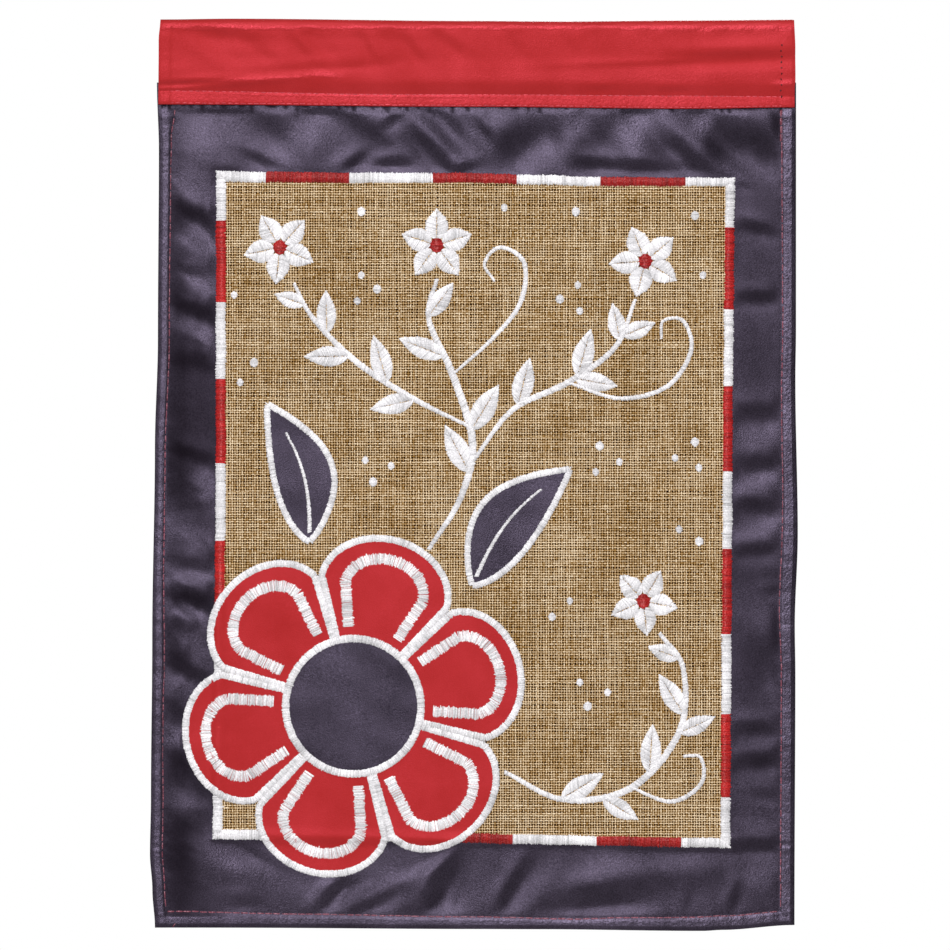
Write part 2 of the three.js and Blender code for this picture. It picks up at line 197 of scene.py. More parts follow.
def gathers(x, z):
    """Fine ripples beside the sleeve's seam, the hems and the border, each dying away from its seam."""
    outside = np.clip(-inside_panel(x, z), 0, None)
    margin = ease(outside / 3)
    below_seam = np.clip(BAND_FOOT - z, 0, None)
    seam = 0.16 * np.exp(-below_seam / 4) * ease(below_seam / 1.5) * ripple(x, (5.3, 7.9, 12.1), 1)
    side_hem = np.clip(FLAG_WIDTH / 2 - HEM_WIDTH - np.abs(x), 0, None)
    side = 0.06 * np.exp(-side_hem / 4) * ripple(z + 40 * np.sign(x), (5.3, 8.1, 13.7), 2)
    foot_hem = np.clip(z + FLAG_HEIGHT - HEM_WIDTH, 0, None)
    foot = 0.08 * np.exp(-foot_hem / 4) * ripple(x, (5.1, 8.3, 13.9), 3)
    corner = math.pi / 4
    slanted = x * math.cos(corner) + z * math.sin(corner)
    border = 0.07 * np.exp(-outside / 5) * ripple(slanted, (6.1, 9.7, 15.1), 4)
    under = 0.5 * np.exp(-outside / 0.9) * ease((PANEL_CORNERS["foot"] + 6 - z) / 4)
    return margin * (seam + side + foot + border) + under


# %% [markdown]
# ## Leans and blotches
# A margin of loose satin lies in soft tilted places, dark where they face down and pale where they face up.
# Each is a row of a table, given one by one: where it is, which way it runs, its size and its slope. A second
# table paints shade and highlight into the sheen: where it is duller than the slope alone gives, that is painted
# shade, and where it is clearer, painted highlight.

# %% Where the satin leans
# Columns: x, z, angle in degrees, length, width, slope. A positive slope faces down and looks dark.
LEANS = [
    (-103, -52, -25, 22, 17, 0.11), (-109.5, -69, -27, 20, 6, 0.22), (-54, -56, -36, 52, 16, 0.12),
    (-61.6, -70.5, 35, 16, 5.5, 0.22), (-43.6, -71, 5, 18, 5.5, 0.22), (-42.5, -49.3, 34, 17, 5, 0.16),
    (-22.4, -64.2, -48, 32, 9, 0.24), (-11.5, -52, -50, 22, 10, 0.13), (-5.5, -73.6, 15, 14, 5, 0.2),
    (2.5, -53, -50, 19, 6, 0.18), (18.5, -61, 25, 19, 16, 0.15), (39, -52, -25, 16, 16, 0.11),
    (62, -55, 0, 20, 20, 0.09), (60, -71.5, -6, 17, 6.5, 0.22), (86, -73, -3, 30, 6.5, 0.24),
    (104.5, -66, -42, 32, 10, 0.22), (137, -57, -20, 48, 16, 0.16),
    (-131, -56, -10, 36, 26, -0.05), (-83, -54, -8, 22, 19, -0.07), (-27, -50, -35, 40, 8, -0.08),
    (49.5, -54, -20, 15, 16, -0.09), (79, -54, 0, 19, 20, -0.09), (114.5, -51, 0, 12, 14, -0.10),
    (124, -66, -38, 40, 8, -0.08), (35, -66, -30, 24, 12, -0.05),
    (-144, -96, -25, 30, 7, 0.24), (-147, -125, -10, 22, 5, 0.12), (-143, -145, -18, 28, 8, 0.22),
    (-143, -171, -5, 28, 9, 0.20), (-143, -218, -20, 28, 6, 0.22), (-147, -244, -2, 24, 4, 0.10),
    (-145, -273, -8, 28, 6, 0.18), (-145, -289, -20, 30, 8, 0.26), (-150, -306, -40, 20, 9, 0.16),
    (-147, -323, -35, 32, 8, 0.28), (-146, -347, -22, 30, 11, 0.22), (-146, -371, -15, 30, 12, 0.22),
    (-148, -402, 0, 22, 8, 0.20), (-146, -432, -20, 24, 20, 0.06),
    (-140, -112, -30, 26, 9, -0.14), (-142, -133, -30, 22, 5, -0.08), (-143, -232, -30, 26, 9, -0.06),
    (-138, -262, -35, 24, 8, -0.12), (-143, -281, 0, 24, 4, -0.08), (-142, -300, -25, 26, 4, -0.12),
    (-140, -315, -50, 26, 5, -0.14), (-145, -334, -30, 30, 6, -0.16), (-145, -360, -25, 30, 6, -0.14),
    (-145, -388, -30, 30, 7, -0.10),
    (134, -82, -20, 9, 4, 0.14), (141, -104, -15, 20, 6, 0.20), (141, -139, 0, 24, 6, 0.20),
    (142, -197, 0, 26, 9, 0.16), (143, -222, 0, 26, 8, 0.14), (142, -244, -3, 26, 7, 0.20),
    (142, -266, 5, 26, 6, 0.20), (148, -287, -5, 10, 4, 0.16), (146, -318, 0, 16, 20, 0.12),
    (142, -356, -2, 24, 7, 0.18), (142, -372, 4, 26, 7, 0.22), (147, -389, -5, 16, 5, 0.12),
    (142, -415, 0, 26, 6, 0.20), (142, -232, 12, 26, 8, -0.08), (142, -256, 8, 26, 7, -0.08),
    (140, -405, -20, 24, 8, -0.08), (142, -430, 0, 26, 14, -0.06),
    (-70, -436, 50, 32, 7, 0.28), (-52, -444, 28, 32, 5, 0.20), (-19, -434, 62, 34, 12, 0.28),
    (17, -437, 60, 28, 7, 0.18), (63, -441, 10, 38, 14, 0.22), (106, -443, 80, 10, 4, 0.10),
    (130, -441, 75, 16, 5, 0.14), (-118, -443, 0, 16, 7, 0.10),
    (-118, -423, -25, 44, 12, -0.10), (-55, -430, 38, 44, 7, -0.12), (30, -434, 58, 28, 9, -0.08),
    (104, -424, 0, 40, 12, -0.08),
]
print(len(LEANS), "leans")

# %% Where the sheen is painted duller or clearer
# Columns: x, z, angle in degrees, length, width, dullness. A positive dullness is painted shade; a negative one
# lets the sheen through, a painted highlight.
PAINTED_SHEEN_SPOTS = [
    (-10, -58, 0, 380, 34, -0.15), (20, -437, 0, 330, 28, -0.15),
    (-142, -255, 90, 440, 36, 0.43), (-151, -250, 90, 420, 9, 0.14), (142, -250, 90, 440, 34, 0.15),
    (-137, -86, -35, 32, 13, -0.5), (-139, -113, -40, 26, 15, -0.5), (-139, -131, -35, 22, 10, -0.5),
    (-145, -153, -25, 28, 8, -0.3), (-134, -163, -60, 16, 7, -0.4), (-134, -236, -60, 24, 11, -0.5),
    (-146, -258, -20, 30, 20, -0.5), (-145, -280, 0, 30, 11, -0.55), (-142, -300, -25, 32, 8, -0.6),
    (-139, -317, -50, 28, 10, -0.6), (-145, -338, -30, 38, 11, -0.6), (-145, -363, -30, 38, 11, -0.6),
    (-144, -396, -35, 28, 10, -0.45), (-133, -420, -60, 28, 15, -0.3), (-120, -428, -10, 40, 20, -0.3),
    (142, -210, 10, 26, 10, -0.14), (141, -232, 12, 26, 9, -0.24), (141, -256, 8, 26, 9, -0.24),
    (136, -396, -30, 24, 14, -0.3), (137, -428, -20, 24, 12, -0.2), (134, -348, -10, 20, 12, -0.1),
    (-149, -428, 90, 56, 24, 0.3),
    (135, -60, -18, 40, 13, 0.26), (146, -66, -60, 16, 9, 0.16), (18.5, -61, 78, 20, 13, 0.29),
    (60, -71.5, -6, 13, 6, 0.31), (86, -73, -3, 25, 6, 0.31), (104, -66, -42, 30, 9, 0.26),
    (-24, -64, -55, 26, 9, 0.24), (-61.5, -69, 35, 12, 5, 0.24), (-43, -71.5, 2, 16, 4, 0.24),
    (-110, -69, -30, 18, 5, 0.24), (-103, -52, -50, 26, 14, 0.16), (-54, -55, -36, 44, 12, 0.16),
    (39, -53, -65, 18, 12, 0.19), (62, -56, 90, 22, 12, 0.19), (2, -52, -60, 18, 8, 0.16),
    (-11.5, -52, -55, 18, 8, 0.16), (98, -52, 70, 20, 16, 0.1), (79, -53, 82, 24, 13, -0.35),
    (115, -50, 80, 15, 9, -0.35), (49.5, -53, -65, 17, 9, -0.3), (-135, -58, 0, 34, 22, -0.25),
    (-83, -54, 0, 20, 18, -0.2), (63, -440, 0, 30, 13, 0.21), (-18, -435, 62, 30, 10, 0.19),
    (-70, -436, 50, 26, 7, 0.16), (-52, -444, 28, 26, 5, 0.13), (17, -437, 60, 24, 7, 0.13),
    (130, -441, 75, 14, 5, 0.16), (107, -442, 80, 12, 5, 0.13), (141, -104, -15, 19, 6, 0.25),
    (141, -139, 0, 22, 6, 0.25), (142, -197, 0, 24, 8, 0.19), (143, -221, 0, 24, 7, 0.14),
    (142, -244, -3, 24, 6, 0.22), (142, -266, 5, 24, 5, 0.19), (142, -356, -2, 24, 6, 0.15),
    (142, -373, 4, 26, 8, 0.22), (142, -415, 0, 26, 6, 0.22), (-144, -96, -25, 26, 6, 0.22),
    (-143, -145, -18, 26, 7, 0.22), (-143, -171, -5, 26, 8, 0.19), (-143, -218, -20, 26, 6, 0.22),
    (-145, -290, -18, 28, 8, 0.19), (-147, -326, -30, 22, 8, 0.15), (-150, -373, -15, 14, 10, 0.15),
]
print(len(PAINTED_SHEEN_SPOTS), "dull or clear places")


# %% Middle surface
def leans(table, x, z):
    """Sum of places where cloth leans out of its plane. Each is its slope times the distance across its
    line, faded as a bell curve, so its neighbours lean a little the other way."""
    total = np.zeros(np.broadcast(x, z).shape)
    for x0, z0, angle, length, width, slope in table:
        turn = math.radians(angle)
        along = (x - x0) * math.cos(turn) + (z - z0) * math.sin(turn)
        across = (z - z0) * math.cos(turn) - (x - x0) * math.sin(turn)
        fade = np.exp(-((across / (0.75 * width)) ** 2) - (1.8 * along / length) ** 2)
        total += 1.8 * slope * across * fade
    return total


def cloth(x, z):
    """Middle surface that every layer lies on: the main shape, and in the margins the leans and gathers. The
    flower's stitching keeps the cloth under it flat."""
    from_flower = np.hypot(x - FLOWER[0], z - FLOWER[1]) - PETAL_TIP
    margin = ease(-inside_panel(x, z) / 2) * ease((BAND_FOOT - z) / 4) * ease(from_flower / 6)
    from_edge = np.minimum(FLAG_WIDTH / 2 - np.abs(x), z + FLAG_HEIGHT)
    stiff = ease((from_edge - HEM_WIDTH + 1) / 6)
    return main_shape(x, z) + margin * stiff * leans(LEANS, x, z) + gathers(x, z)


def panel_lift(x, z):
    """What the burlap adds under a layer that crosses its edge, with the border's ridge along that edge."""
    inside = inside_panel(x, z)
    ridge = np.clip(1 - ((inside - BORDER_WIDTH / 2) / (BORDER_WIDTH / 2 + 1)) ** 2, 0, 1)
    return PANEL_LIFT * ease((inside + 0.5) / 2) + 0.5 * ridge


# %% [markdown]
# ## From arrays to meshes
# A cloth here is a closed skin: a front grid, a back grid a cloth's thickness behind it, and a rim that joins
# them. Solidify could add the thickness, but hems are thicker than the rest, so both faces are worked out. The
# same helper makes every sheet, and another one makes every stitch.

# %% Mesh helpers
def make_piece(name, corners, quads, material, uv=None, tone=None):
    """An object from corner positions in millimetres and quads of corner numbers, shaded smooth."""
    mesh = bpy.data.meshes.new(name)
    mesh.vertices.add(len(corners))
    mesh.vertices.foreach_set("co", (np.asarray(corners) * MM).ravel())
    mesh.loops.add(quads.size)
    mesh.loops.foreach_set("vertex_index", quads.ravel())
    mesh.polygons.add(len(quads))
    mesh.polygons.foreach_set("loop_start", np.arange(0, quads.size, 4))
    mesh.polygons.foreach_set("use_smooth", np.ones(len(quads), bool))
    if uv is not None:
        layer = mesh.uv_layers.new(name="cloth")
        layer.data.foreach_set("uv", np.asarray(uv)[quads.ravel()].ravel())
    if tone is not None:
        mesh.attributes.new("tone", "FLOAT", "POINT").data.foreach_set("value", tone)
    mesh.update(calc_edges=True)
    mesh.materials.append(material)
    piece = bpy.data.objects.new(name, mesh)
    bpy.context.scene.collection.objects.link(piece)
    print(name, 2 * len(quads), "triangles")
    return piece


def grid_quads(across, down, start=0):
    """Quads of a grid whose corner (i, j) has the number start + i * down + j. They face the viewer where i
    runs to the right and j runs down."""
    i, j = np.meshgrid(np.arange(across - 1), np.arange(down - 1), indexing="ij")
    first = start + i * down + j
    return np.stack([first, first + 1, first + down + 1, first + down], -1).reshape(-1, 4)


def closed_sheet(name, outer, inner, material, uv, tone=None, inner_tone=None):
    """A closed skin from two grids of points: the outer one, the inner one turned over, and a rim of quads
    round their common edge. Each face may have its own tone."""
    across, down = outer.shape[:2]
    size = across * down
    number = np.arange(size).reshape(across, down)
    loop = np.concatenate([number[0, :-1], number[:-1, -1], number[-1, :0:-1], number[:0:-1, 0]])
    after = np.roll(loop, -1)
    rim = np.stack([loop, loop + size, after + size, after], -1)
    quads = np.concatenate([grid_quads(across, down), grid_quads(across, down, size)[:, ::-1], rim])
    corners = np.concatenate([outer.reshape(-1, 3), inner.reshape(-1, 3)])
    flat = np.concatenate([uv.reshape(-1, 2)] * 2)
    if tone is not None:
        tone = np.concatenate([tone.ravel(), (tone if inner_tone is None else inner_tone).ravel()])
    return make_piece(name, corners, quads, material, flat * MM, tone)


def raised(x, z, height):
    """Points that stand at a height in front of the cloth's middle surface."""
    return np.stack(np.broadcast_arrays(x, -(cloth(x, z) + height), z), -1)


# %% [markdown]
# ## Finishes
# Satin is woven so that long threads float on its face. They catch a soft, wide highlight, which is why each
# pucker shows as a pale and a dark side. The shader does that with a middling roughness and a tinted highlight,
# and the geometry does the rest, with painted shade and painted highlight in the sheen where the tone says. One
# node group gives both satins the grain of their weave, the flecks in their sheen and the crinkle of their
# painted shining strips.

# %% Node helpers
def add_node(tree, kind, inputs=(), **settings):
    """A node with its settings, whose inputs are set from values or linked from sockets."""
    node = tree.nodes.new(kind)
    for name, value in settings.items():
        setattr(node, name, value)
    for name, value in dict(inputs).items():
        if isinstance(value, bpy.types.NodeSocket):
            tree.links.new(value, node.inputs[name])
        else:
            node.inputs[name].default_value = value
    return node


def new_group(name, inputs, outputs):
    """An empty shader group with named float inputs and outputs of the given kinds."""
    group = bpy.data.node_groups.new(name, "ShaderNodeTree")
    for label, value in inputs.items():
        socket = group.interface.new_socket(label, in_out="INPUT", socket_type="NodeSocketFloat")
        socket.default_value = value
    for label, kind in outputs.items():
        group.interface.new_socket(label, in_out="OUTPUT", socket_type=kind)
    return group, group.nodes.new("NodeGroupInput").outputs, group.nodes.new("NodeGroupOutput").inputs


def ramp(tree, factor, stops):
    """The colour output of a ramp whose stops are (position, colour), driven by a socket."""
    node = add_node(tree, "ShaderNodeValToRGB", {"Fac": factor})
    elements = node.color_ramp.elements
    while len(elements) < len(stops):
        elements.new(0.5)
    for element, (position, colour) in zip(elements, stops):
        element.position, element.color = position, (*colour, 1)
    return node.outputs["Color"]


def use_group(tree, group, **inputs):
    """Places a group in a material and sets its inputs."""
    node = tree.nodes.new("ShaderNodeGroup")
    node.node_tree = group
    for name, value in inputs.items():
        node.inputs[name].default_value = value
    return node


def new_material(name, **shader):
    """A material with plain values on its Principled shader's own sockets, ready for its nodes."""
    material = bpy.data.materials.new(name)
    material.use_nodes = True
    principled = material.node_tree.nodes["Principled BSDF"]
    for label, value in shader.items():
        principled.inputs[label.replace("_", " ")].default_value = value
    return material, material.node_tree, principled


# %% Weave group
def weave_group():
    """The satin's grain: fine stretched noise both ways for the bump, slow noise for uneven dye and a mottled
    sheen, fine specks in that sheen, and a coarser crinkle."""
    group, given, out = new_group(
        "satin_weave", {"Grain": 1.0},
        dict.fromkeys(("Height", "Tone", "Fleck", "Crinkle"), "NodeSocketFloat"))
    place = add_node(group, "ShaderNodeTexCoord").outputs["Object"]
    fine = []
    for stretch in ((1500, 1500, 2200), (2200, 1500, 1500)):
        spot = add_node(group, "ShaderNodeMapping", {"Vector": place, "Scale": stretch})
        noise = add_node(group, "ShaderNodeTexNoise", {"Vector": spot.outputs[0], "Scale": 1, "Detail": 2})
        fine.append(noise.outputs["Fac"])
    both = add_node(group, "ShaderNodeMath", operation="ADD")
    for side, noise in enumerate(fine):
        group.links.new(noise, both.inputs[side])
    height = add_node(group, "ShaderNodeMath", operation="MULTIPLY")
    group.links.new(both.outputs[0], height.inputs[0])
    group.links.new(given["Grain"], height.inputs[1])
    group.links.new(height.outputs[0], out["Height"])
    speck = add_node(group, "ShaderNodeTexNoise", {"Vector": place, "Scale": 1500, "Detail": 1})
    fleck = add_node(group, "ShaderNodeMapRange", {
        "Value": speck.outputs["Fac"], "To Min": 0.2, "To Max": 1.8})
    slow = add_node(group, "ShaderNodeTexNoise", {"Vector": place, "Scale": 38, "Detail": 4, "Roughness": 0.6})
    group.links.new(slow.outputs["Fac"], out["Tone"])
    mottle = add_node(group, "ShaderNodeMapRange", {
        "Value": slow.outputs["Fac"], "From Min": 0.3, "From Max": 0.7, "To Min": 0.72, "To Max": 1.28})
    shine = add_node(group, "ShaderNodeMath", operation="MULTIPLY")
    group.links.new(fleck.outputs[0], shine.inputs[0])
    group.links.new(mottle.outputs[0], shine.inputs[1])
    group.links.new(shine.outputs[0], out["Fleck"])
    crinkle = add_node(group, "ShaderNodeTexNoise", {"Vector": place, "Scale": 620, "Detail": 1})
    group.links.new(crinkle.outputs["Fac"], out["Crinkle"])
    return group


SATIN_WEAVE = weave_group()


# %% Satin
def satin(name, dark, light, roughness, gloss, tint, grain=1.0):
    """Satin: two close tones of one dye, a soft highlight, and the weave's grain as bump. The attribute tone
    paints shade and highlight: at 1, as where another cloth covers it, the satin turns matt and loses its
    highlight, a painted shade, and below 0 its highlight grows and crinkles, a painted highlight."""
    material, tree, shader = new_material(name, Specular_Tint=(*tint, 1))
    weave = use_group(tree, SATIN_WEAVE, Grain=grain)
    colour = ramp(tree, weave.outputs["Tone"], [(0.3, dark), (0.7, light)])
    tree.links.new(colour, shader.inputs["Base Color"])
    tone = add_node(tree, "ShaderNodeAttribute", attribute_name="tone").outputs["Fac"]
    rough = add_node(tree, "ShaderNodeMapRange", {"Value": tone, "To Min": roughness, "To Max": 1.0})
    tree.links.new(rough.outputs[0], shader.inputs["Roughness"])
    shine = add_node(tree, "ShaderNodeMapRange", {
        "Value": tone, "From Min": -2.0, "To Min": 3 * gloss, "To Max": 0.0})
    flecked = add_node(tree, "ShaderNodeMath", operation="MULTIPLY")
    tree.links.new(shine.outputs[0], flecked.inputs[0])
    tree.links.new(weave.outputs["Fleck"], flecked.inputs[1])
    tree.links.new(flecked.outputs[0], shader.inputs["Specular IOR Level"])
    painted_shine = add_node(tree, "ShaderNodeMapRange", {
        "Value": tone, "From Min": -1.0, "From Max": 0.0, "To Min": 3.0, "To Max": 0.0})
    relief = add_node(tree, "ShaderNodeMath", operation="MULTIPLY_ADD")
    for slot, source in enumerate((painted_shine.outputs[0], weave.outputs["Crinkle"], weave.outputs["Height"])):
        tree.links.new(source, relief.inputs[slot])
    bump = add_node(tree, "ShaderNodeBump", {
        "Height": relief.outputs[0], "Strength": 0.32, "Distance": 0.0003})
    tree.links.new(bump.outputs[0], shader.inputs["Normal"])
    return material


NAVY_SATIN = satin(
    "navy_satin", (0.006, 0.004, 0.0066), (0.009, 0.006, 0.010), 0.36, 0.60, (0.815, 0.675, 1.0))
RED_SATIN = satin("red_satin", (0.39, 0.021, 0.021), (0.44, 0.026, 0.028), 0.36, 0.50, (1.0, 0.12, 0.18))

# %% Thread
def thread(name, colour, roughness, sheen, tint=(1, 1, 1), fleck=0.2):
    """Embroidery thread: each stitch has its own tone, a fine twist runs round it as bump, and flecks make it
    paler and glossier in places, by a share of its colour. The paler flecks are partly the thread's uneven colour
    and partly painted glints."""
    material, tree, shader = new_material(
        name, Roughness=roughness, Sheen_Weight=sheen, Sheen_Roughness=0.35, Specular_Tint=(*tint, 1))
    tone = add_node(tree, "ShaderNodeAttribute", attribute_name="tone")
    shade = add_node(tree, "ShaderNodeHueSaturation", {"Color": (*colour, 1)})
    place = add_node(tree, "ShaderNodeTexCoord").outputs["Object"]
    specks = add_node(tree, "ShaderNodeTexNoise", {"Vector": place, "Scale": 1500, "Detail": 1})
    speck = specks.outputs["Fac"]
    tone_change = add_node(tree, "ShaderNodeMapRange", {
        "Value": speck, "From Min": 0.3, "From Max": 0.7, "To Min": 1 - fleck, "To Max": 1 + fleck})
    value = add_node(tree, "ShaderNodeMath", operation="MULTIPLY")
    tree.links.new(tone.outputs["Fac"], value.inputs[0])
    tree.links.new(tone_change.outputs[0], value.inputs[1])
    tree.links.new(value.outputs[0], shade.inputs["Value"])
    tree.links.new(shade.outputs["Color"], shader.inputs["Base Color"])
    glint = add_node(tree, "ShaderNodeMapRange", {
        "Value": speck, "From Min": 0.4, "From Max": 0.7, "To Min": 0.1, "To Max": 0.1 + 4 * fleck})
    tree.links.new(glint.outputs[0], shader.inputs["Specular IOR Level"])
    twist = add_node(tree, "ShaderNodeTexNoise", {"Vector": place, "Scale": 5200, "Detail": 1})
    bump = add_node(tree, "ShaderNodeBump", {
        "Height": twist.outputs["Fac"], "Strength": 0.3, "Distance": 0.0001})
    tree.links.new(bump.outputs[0], shader.inputs["Normal"])
    return material


WHITE_THREAD = thread("white_thread", (0.84, 0.82, 0.845), 0.42, 0.1, fleck=0.18)
RED_THREAD = thread("red_thread", (0.41, 0.016, 0.016), 0.36, 0.04, (1, 0.75, 0.75), 0.22)
TOPSTITCH_THREAD = thread("topstitch_thread", (0.24, 0.06, 0.09), 0.45, 0.05, (1, 0.85, 0.95), 0.35)
# The sleeve's thread is paler and pinker than its satin: partly its own colour, partly a painted highlight along
# the strip's seams.
SLEEVE_THREAD = thread("sleeve_thread", (0.68, 0.08, 0.11), 0.5, 0.05, (1, 0.6, 0.6))

# %% Burlap yarn
def yarn():
    """Burlap yarn: rounded by a bump across it, streaked and slubbed along it, and painted darker at its edges as
    shade between the yarns.
    """
    material, tree, shader = new_material("burlap_yarn", Roughness=0.9, Specular_IOR_Level=0.03)
    place = add_node(tree, "ShaderNodeTexCoord")
    parts = add_node(tree, "ShaderNodeSeparateXYZ", {"Vector": place.outputs["UV"]})
    tone = add_node(tree, "ShaderNodeAttribute", attribute_name="tone")
    across = add_node(tree, "ShaderNodeMath", operation="PINGPONG")
    tree.links.new(parts.outputs["X"], across.inputs[0])
    across.inputs[1].default_value = 0.5
    round_it = add_node(tree, "ShaderNodeMath", operation="POWER")
    tree.links.new(across.outputs[0], round_it.inputs[0])
    round_it.inputs[1].default_value = 0.5
    spot = place.outputs["Object"]
    cloudy = add_node(tree, "ShaderNodeTexNoise", {"Vector": spot, "Scale": 34, "Detail": 3})
    fibre = add_node(tree, "ShaderNodeTexNoise", {"Vector": spot, "Scale": 1900, "Detail": 2})
    mixed = add_node(tree, "ShaderNodeMath", operation="MULTIPLY_ADD")
    tree.links.new(cloudy.outputs["Fac"], mixed.inputs[0])
    mixed.inputs[1].default_value = 0.4
    tree.links.new(tone.outputs["Fac"], mixed.inputs[2])
    tone_change = add_node(tree, "ShaderNodeMath", operation="MULTIPLY")
    # Painted shade: the colour darkens towards each yarn's edges, where it meets its neighbours, down to a
    # near-black brown.
    edge = add_node(tree, "ShaderNodeMapRange", {
        "Value": round_it.outputs[0], "From Max": 0.68, "To Min": 0.05})
    tree.links.new(mixed.outputs[0], tone_change.inputs[0])
    tree.links.new(edge.outputs[0], tone_change.inputs[1])
    tints = [(0.05, (0.055, 0.013, 0.0)), (0.42, (0.385, 0.203, 0.048)), (0.88, (1.0, 0.83, 0.6))]
    tree.links.new(ramp(tree, tone_change.outputs[0], tints), shader.inputs["Base Color"])
    height = add_node(tree, "ShaderNodeMath", operation="MULTIPLY_ADD")
    tree.links.new(fibre.outputs["Fac"], height.inputs[0])
    height.inputs[1].default_value = 0.35
    tree.links.new(round_it.outputs[0], height.inputs[2])
    bump = add_node(tree, "ShaderNodeBump", {
        "Height": height.outputs[0], "Strength": 0.8, "Distance": 0.0004})
    tree.links.new(bump.outputs[0], shader.inputs["Normal"])
    return material


BURLAP_YARN = yarn()

# %% [markdown]
# ## The ground cloth
# One piece of navy satin. Its top edge runs up inside the sleeve, and its other three edges are turned to the
# back and stitched. A hem is three layers of cloth, so it stands a little proud at the front and makes a step at
# the back. The grid is finer there, and its first lines are very close so that the folded edge looks round.

# %% Hems of the ground cloth
EDGE_STEPS = np.array([0, 0.12, 0.4, 0.85, 1.5, 2.3, 3.1, 3.9, 4.7, 5.5, 6.3, 7.1, 7.9, 9.2, 11])
GRID_PITCH = 1.9


def stitch_inset(side, at):
    """How far the hem's stitching runs inside an edge. It wanders, as a hand-guided seam does."""
    tables = {
        "left": {"z": [-450, -425, -346, -319, -268, -234, -161, -80, -60, -43],
                 "in": [6.4, 6.5, 6.0, 6.4, 5.5, 5.4, 6.0, 6.2, 6.6, 9.0]},
        "right": {"z": [-450, -330, -283, -225, -156, -43], "in": [7.3, 7.3, 8.4, 7.5, 7.0, 7.5]},
        "foot": {"x": [-155, -89, 2, 49, 78, 124, 155], "in": [8.2, 7.0, 6.1, 5.2, 6.4, 7.0, 7.2]},
    }
    return read(tables[side], at)


def field_spot(column, row):
    """A crossing of the plain rectangle, moved with the uneven edges: x and z in millimetres."""
    right = column / FLAG_WIDTH + 0.5
    low = (FIELD_TOP - row) / (FIELD_TOP + FLAG_HEIGHT)
    x = column + (1 - right) * read(FIELD_LEFT, row) + right * read(FIELD_RIGHT, row)
    z = row + low * read(FIELD_FOOT, column)
    return x, z


def hem_profile(column, row):
    """Half thicknesses towards the front and the back. The folded edge is round, the hem swells to a flat top
    between the edge and its stitching, and each stitch draws the layers together and puckers them."""
    from_edges = np.stack([
        column + FLAG_WIDTH / 2, FLAG_WIDTH / 2 - column, row + FLAG_HEIGHT + 0 * column])
    insets = np.stack([stitch_inset("left", row + 0 * column), stitch_inset("right", row + 0 * column),
                       stitch_inset("foot", column + 0 * row)])
    nearest = from_edges.min(0)
    rounded = np.sqrt(np.clip(1 - (1 - np.clip(nearest, 0, 0.9) / 0.9) ** 2, 0.01, 1))
    below_sleeve = ease((BAND_FOOT - row) / 2.5)
    inset = np.take_along_axis(insets, from_edges.argmin(0)[None], 0)[0]
    puff = ease(nearest / 2.0) * (1 - ease((nearest - inset + 1.3) / 1.1))
    turned = (1 - ease((nearest - HEM_WIDTH) / 0.7)) * below_sleeve
    drawn = np.exp(-(((from_edges - insets) / 0.7) ** 2)).max(0) * below_sleeve
    along = np.where(from_edges.argmin(0) == 2, column, row)
    beside = np.exp(-np.clip(nearest - inset, 0, None) / 1.5) * ease(nearest / 2) * below_sleeve
    pucker = 0.09 * beside * ripple(along, (3.9, 5.3, 7.9), 6)
    front = SATIN / 2 + 0.26 * puff * below_sleeve - 0.1 * drawn + pucker
    back = SATIN / 2 + 0.75 * turned - 0.2 * drawn
    return rounded * front, rounded * back


# %% Grid of the ground cloth
side_steps = EDGE_STEPS - FLAG_WIDTH / 2
middle = np.arange(side_steps[-1] + GRID_PITCH, -side_steps[-1] - 0.5, GRID_PITCH)
columns = np.concatenate([side_steps, middle, -side_steps[::-1]])
foot_steps = EDGE_STEPS - FLAG_HEIGHT
rows = np.concatenate([
    np.arange(FIELD_TOP, BAND_FOOT, -GRID_PITCH), np.arange(BAND_FOOT, -49, -0.9),
    np.arange(-49.5, -408, -GRID_PITCH), np.arange(-409, -420, -0.6),
    np.arange(-421, foot_steps[-1] + 0.8, -GRID_PITCH), foot_steps[::-1]])
column, row = np.meshgrid(columns, rows, indexing="ij")
x, z = field_spot(column, row)
front, back = hem_profile(column, row)
print("ground cloth grid", x.shape)

# %% [markdown]
# ## The ground cloth's sheen
# The piece carries a number for each point, its tone, which the satin's shader reads, and it paints shade and
# highlight into the sheen. It is 1 under the panel, where the cloth is hidden and turns matt and dark, a painted
# shade in the burlap's holes, and below 0 on the hems, a painted highlight. In the margins it follows the table
# of painted duller and clearer places, with outlines that wander. Under the sleeve's seam small dark notches are
# painted shade where the thread gathers the cloth.

# %% Ground cloth mesh
from_hem = np.minimum(FLAG_WIDTH / 2 - np.abs(column), row + FLAG_HEIGHT)
seam_inset = np.where(x > 100, 6.2, 4.8)
# The hems' strip between the folded edge and the stitching shines more: a painted highlight, stronger on the
# right.
painted_shine = ease((from_hem - 1.4) / 1.0) * (1 - ease((from_hem - seam_inset) / 1.2))
painted_shine = painted_shine * ease((BAND_FOOT - row) / 2)
painted_shine = painted_shine * np.where(x > 0, 1.0, 0.75)
wander_x = 1.0 * ripple(z + 0.4 * x, (5.7, 9.1, 14.3), 41)
wander_z = 0.9 * ripple(x - 0.3 * z, (6.1, 10.3, 17.9), 42)
# Painted shade and painted highlight in the margins, from the table.
blotches = ridges(PAINTED_SHEEN_SPOTS, x + wander_x, z + wander_z, 1.7)
# Under the panel the satin turns matt and dark: painted shade in the burlap's holes.
painted_sheen = ease((inside_panel(x, z) - 1) / 2) - 0.8 * painted_shine + (1 - painted_shine) * blotches
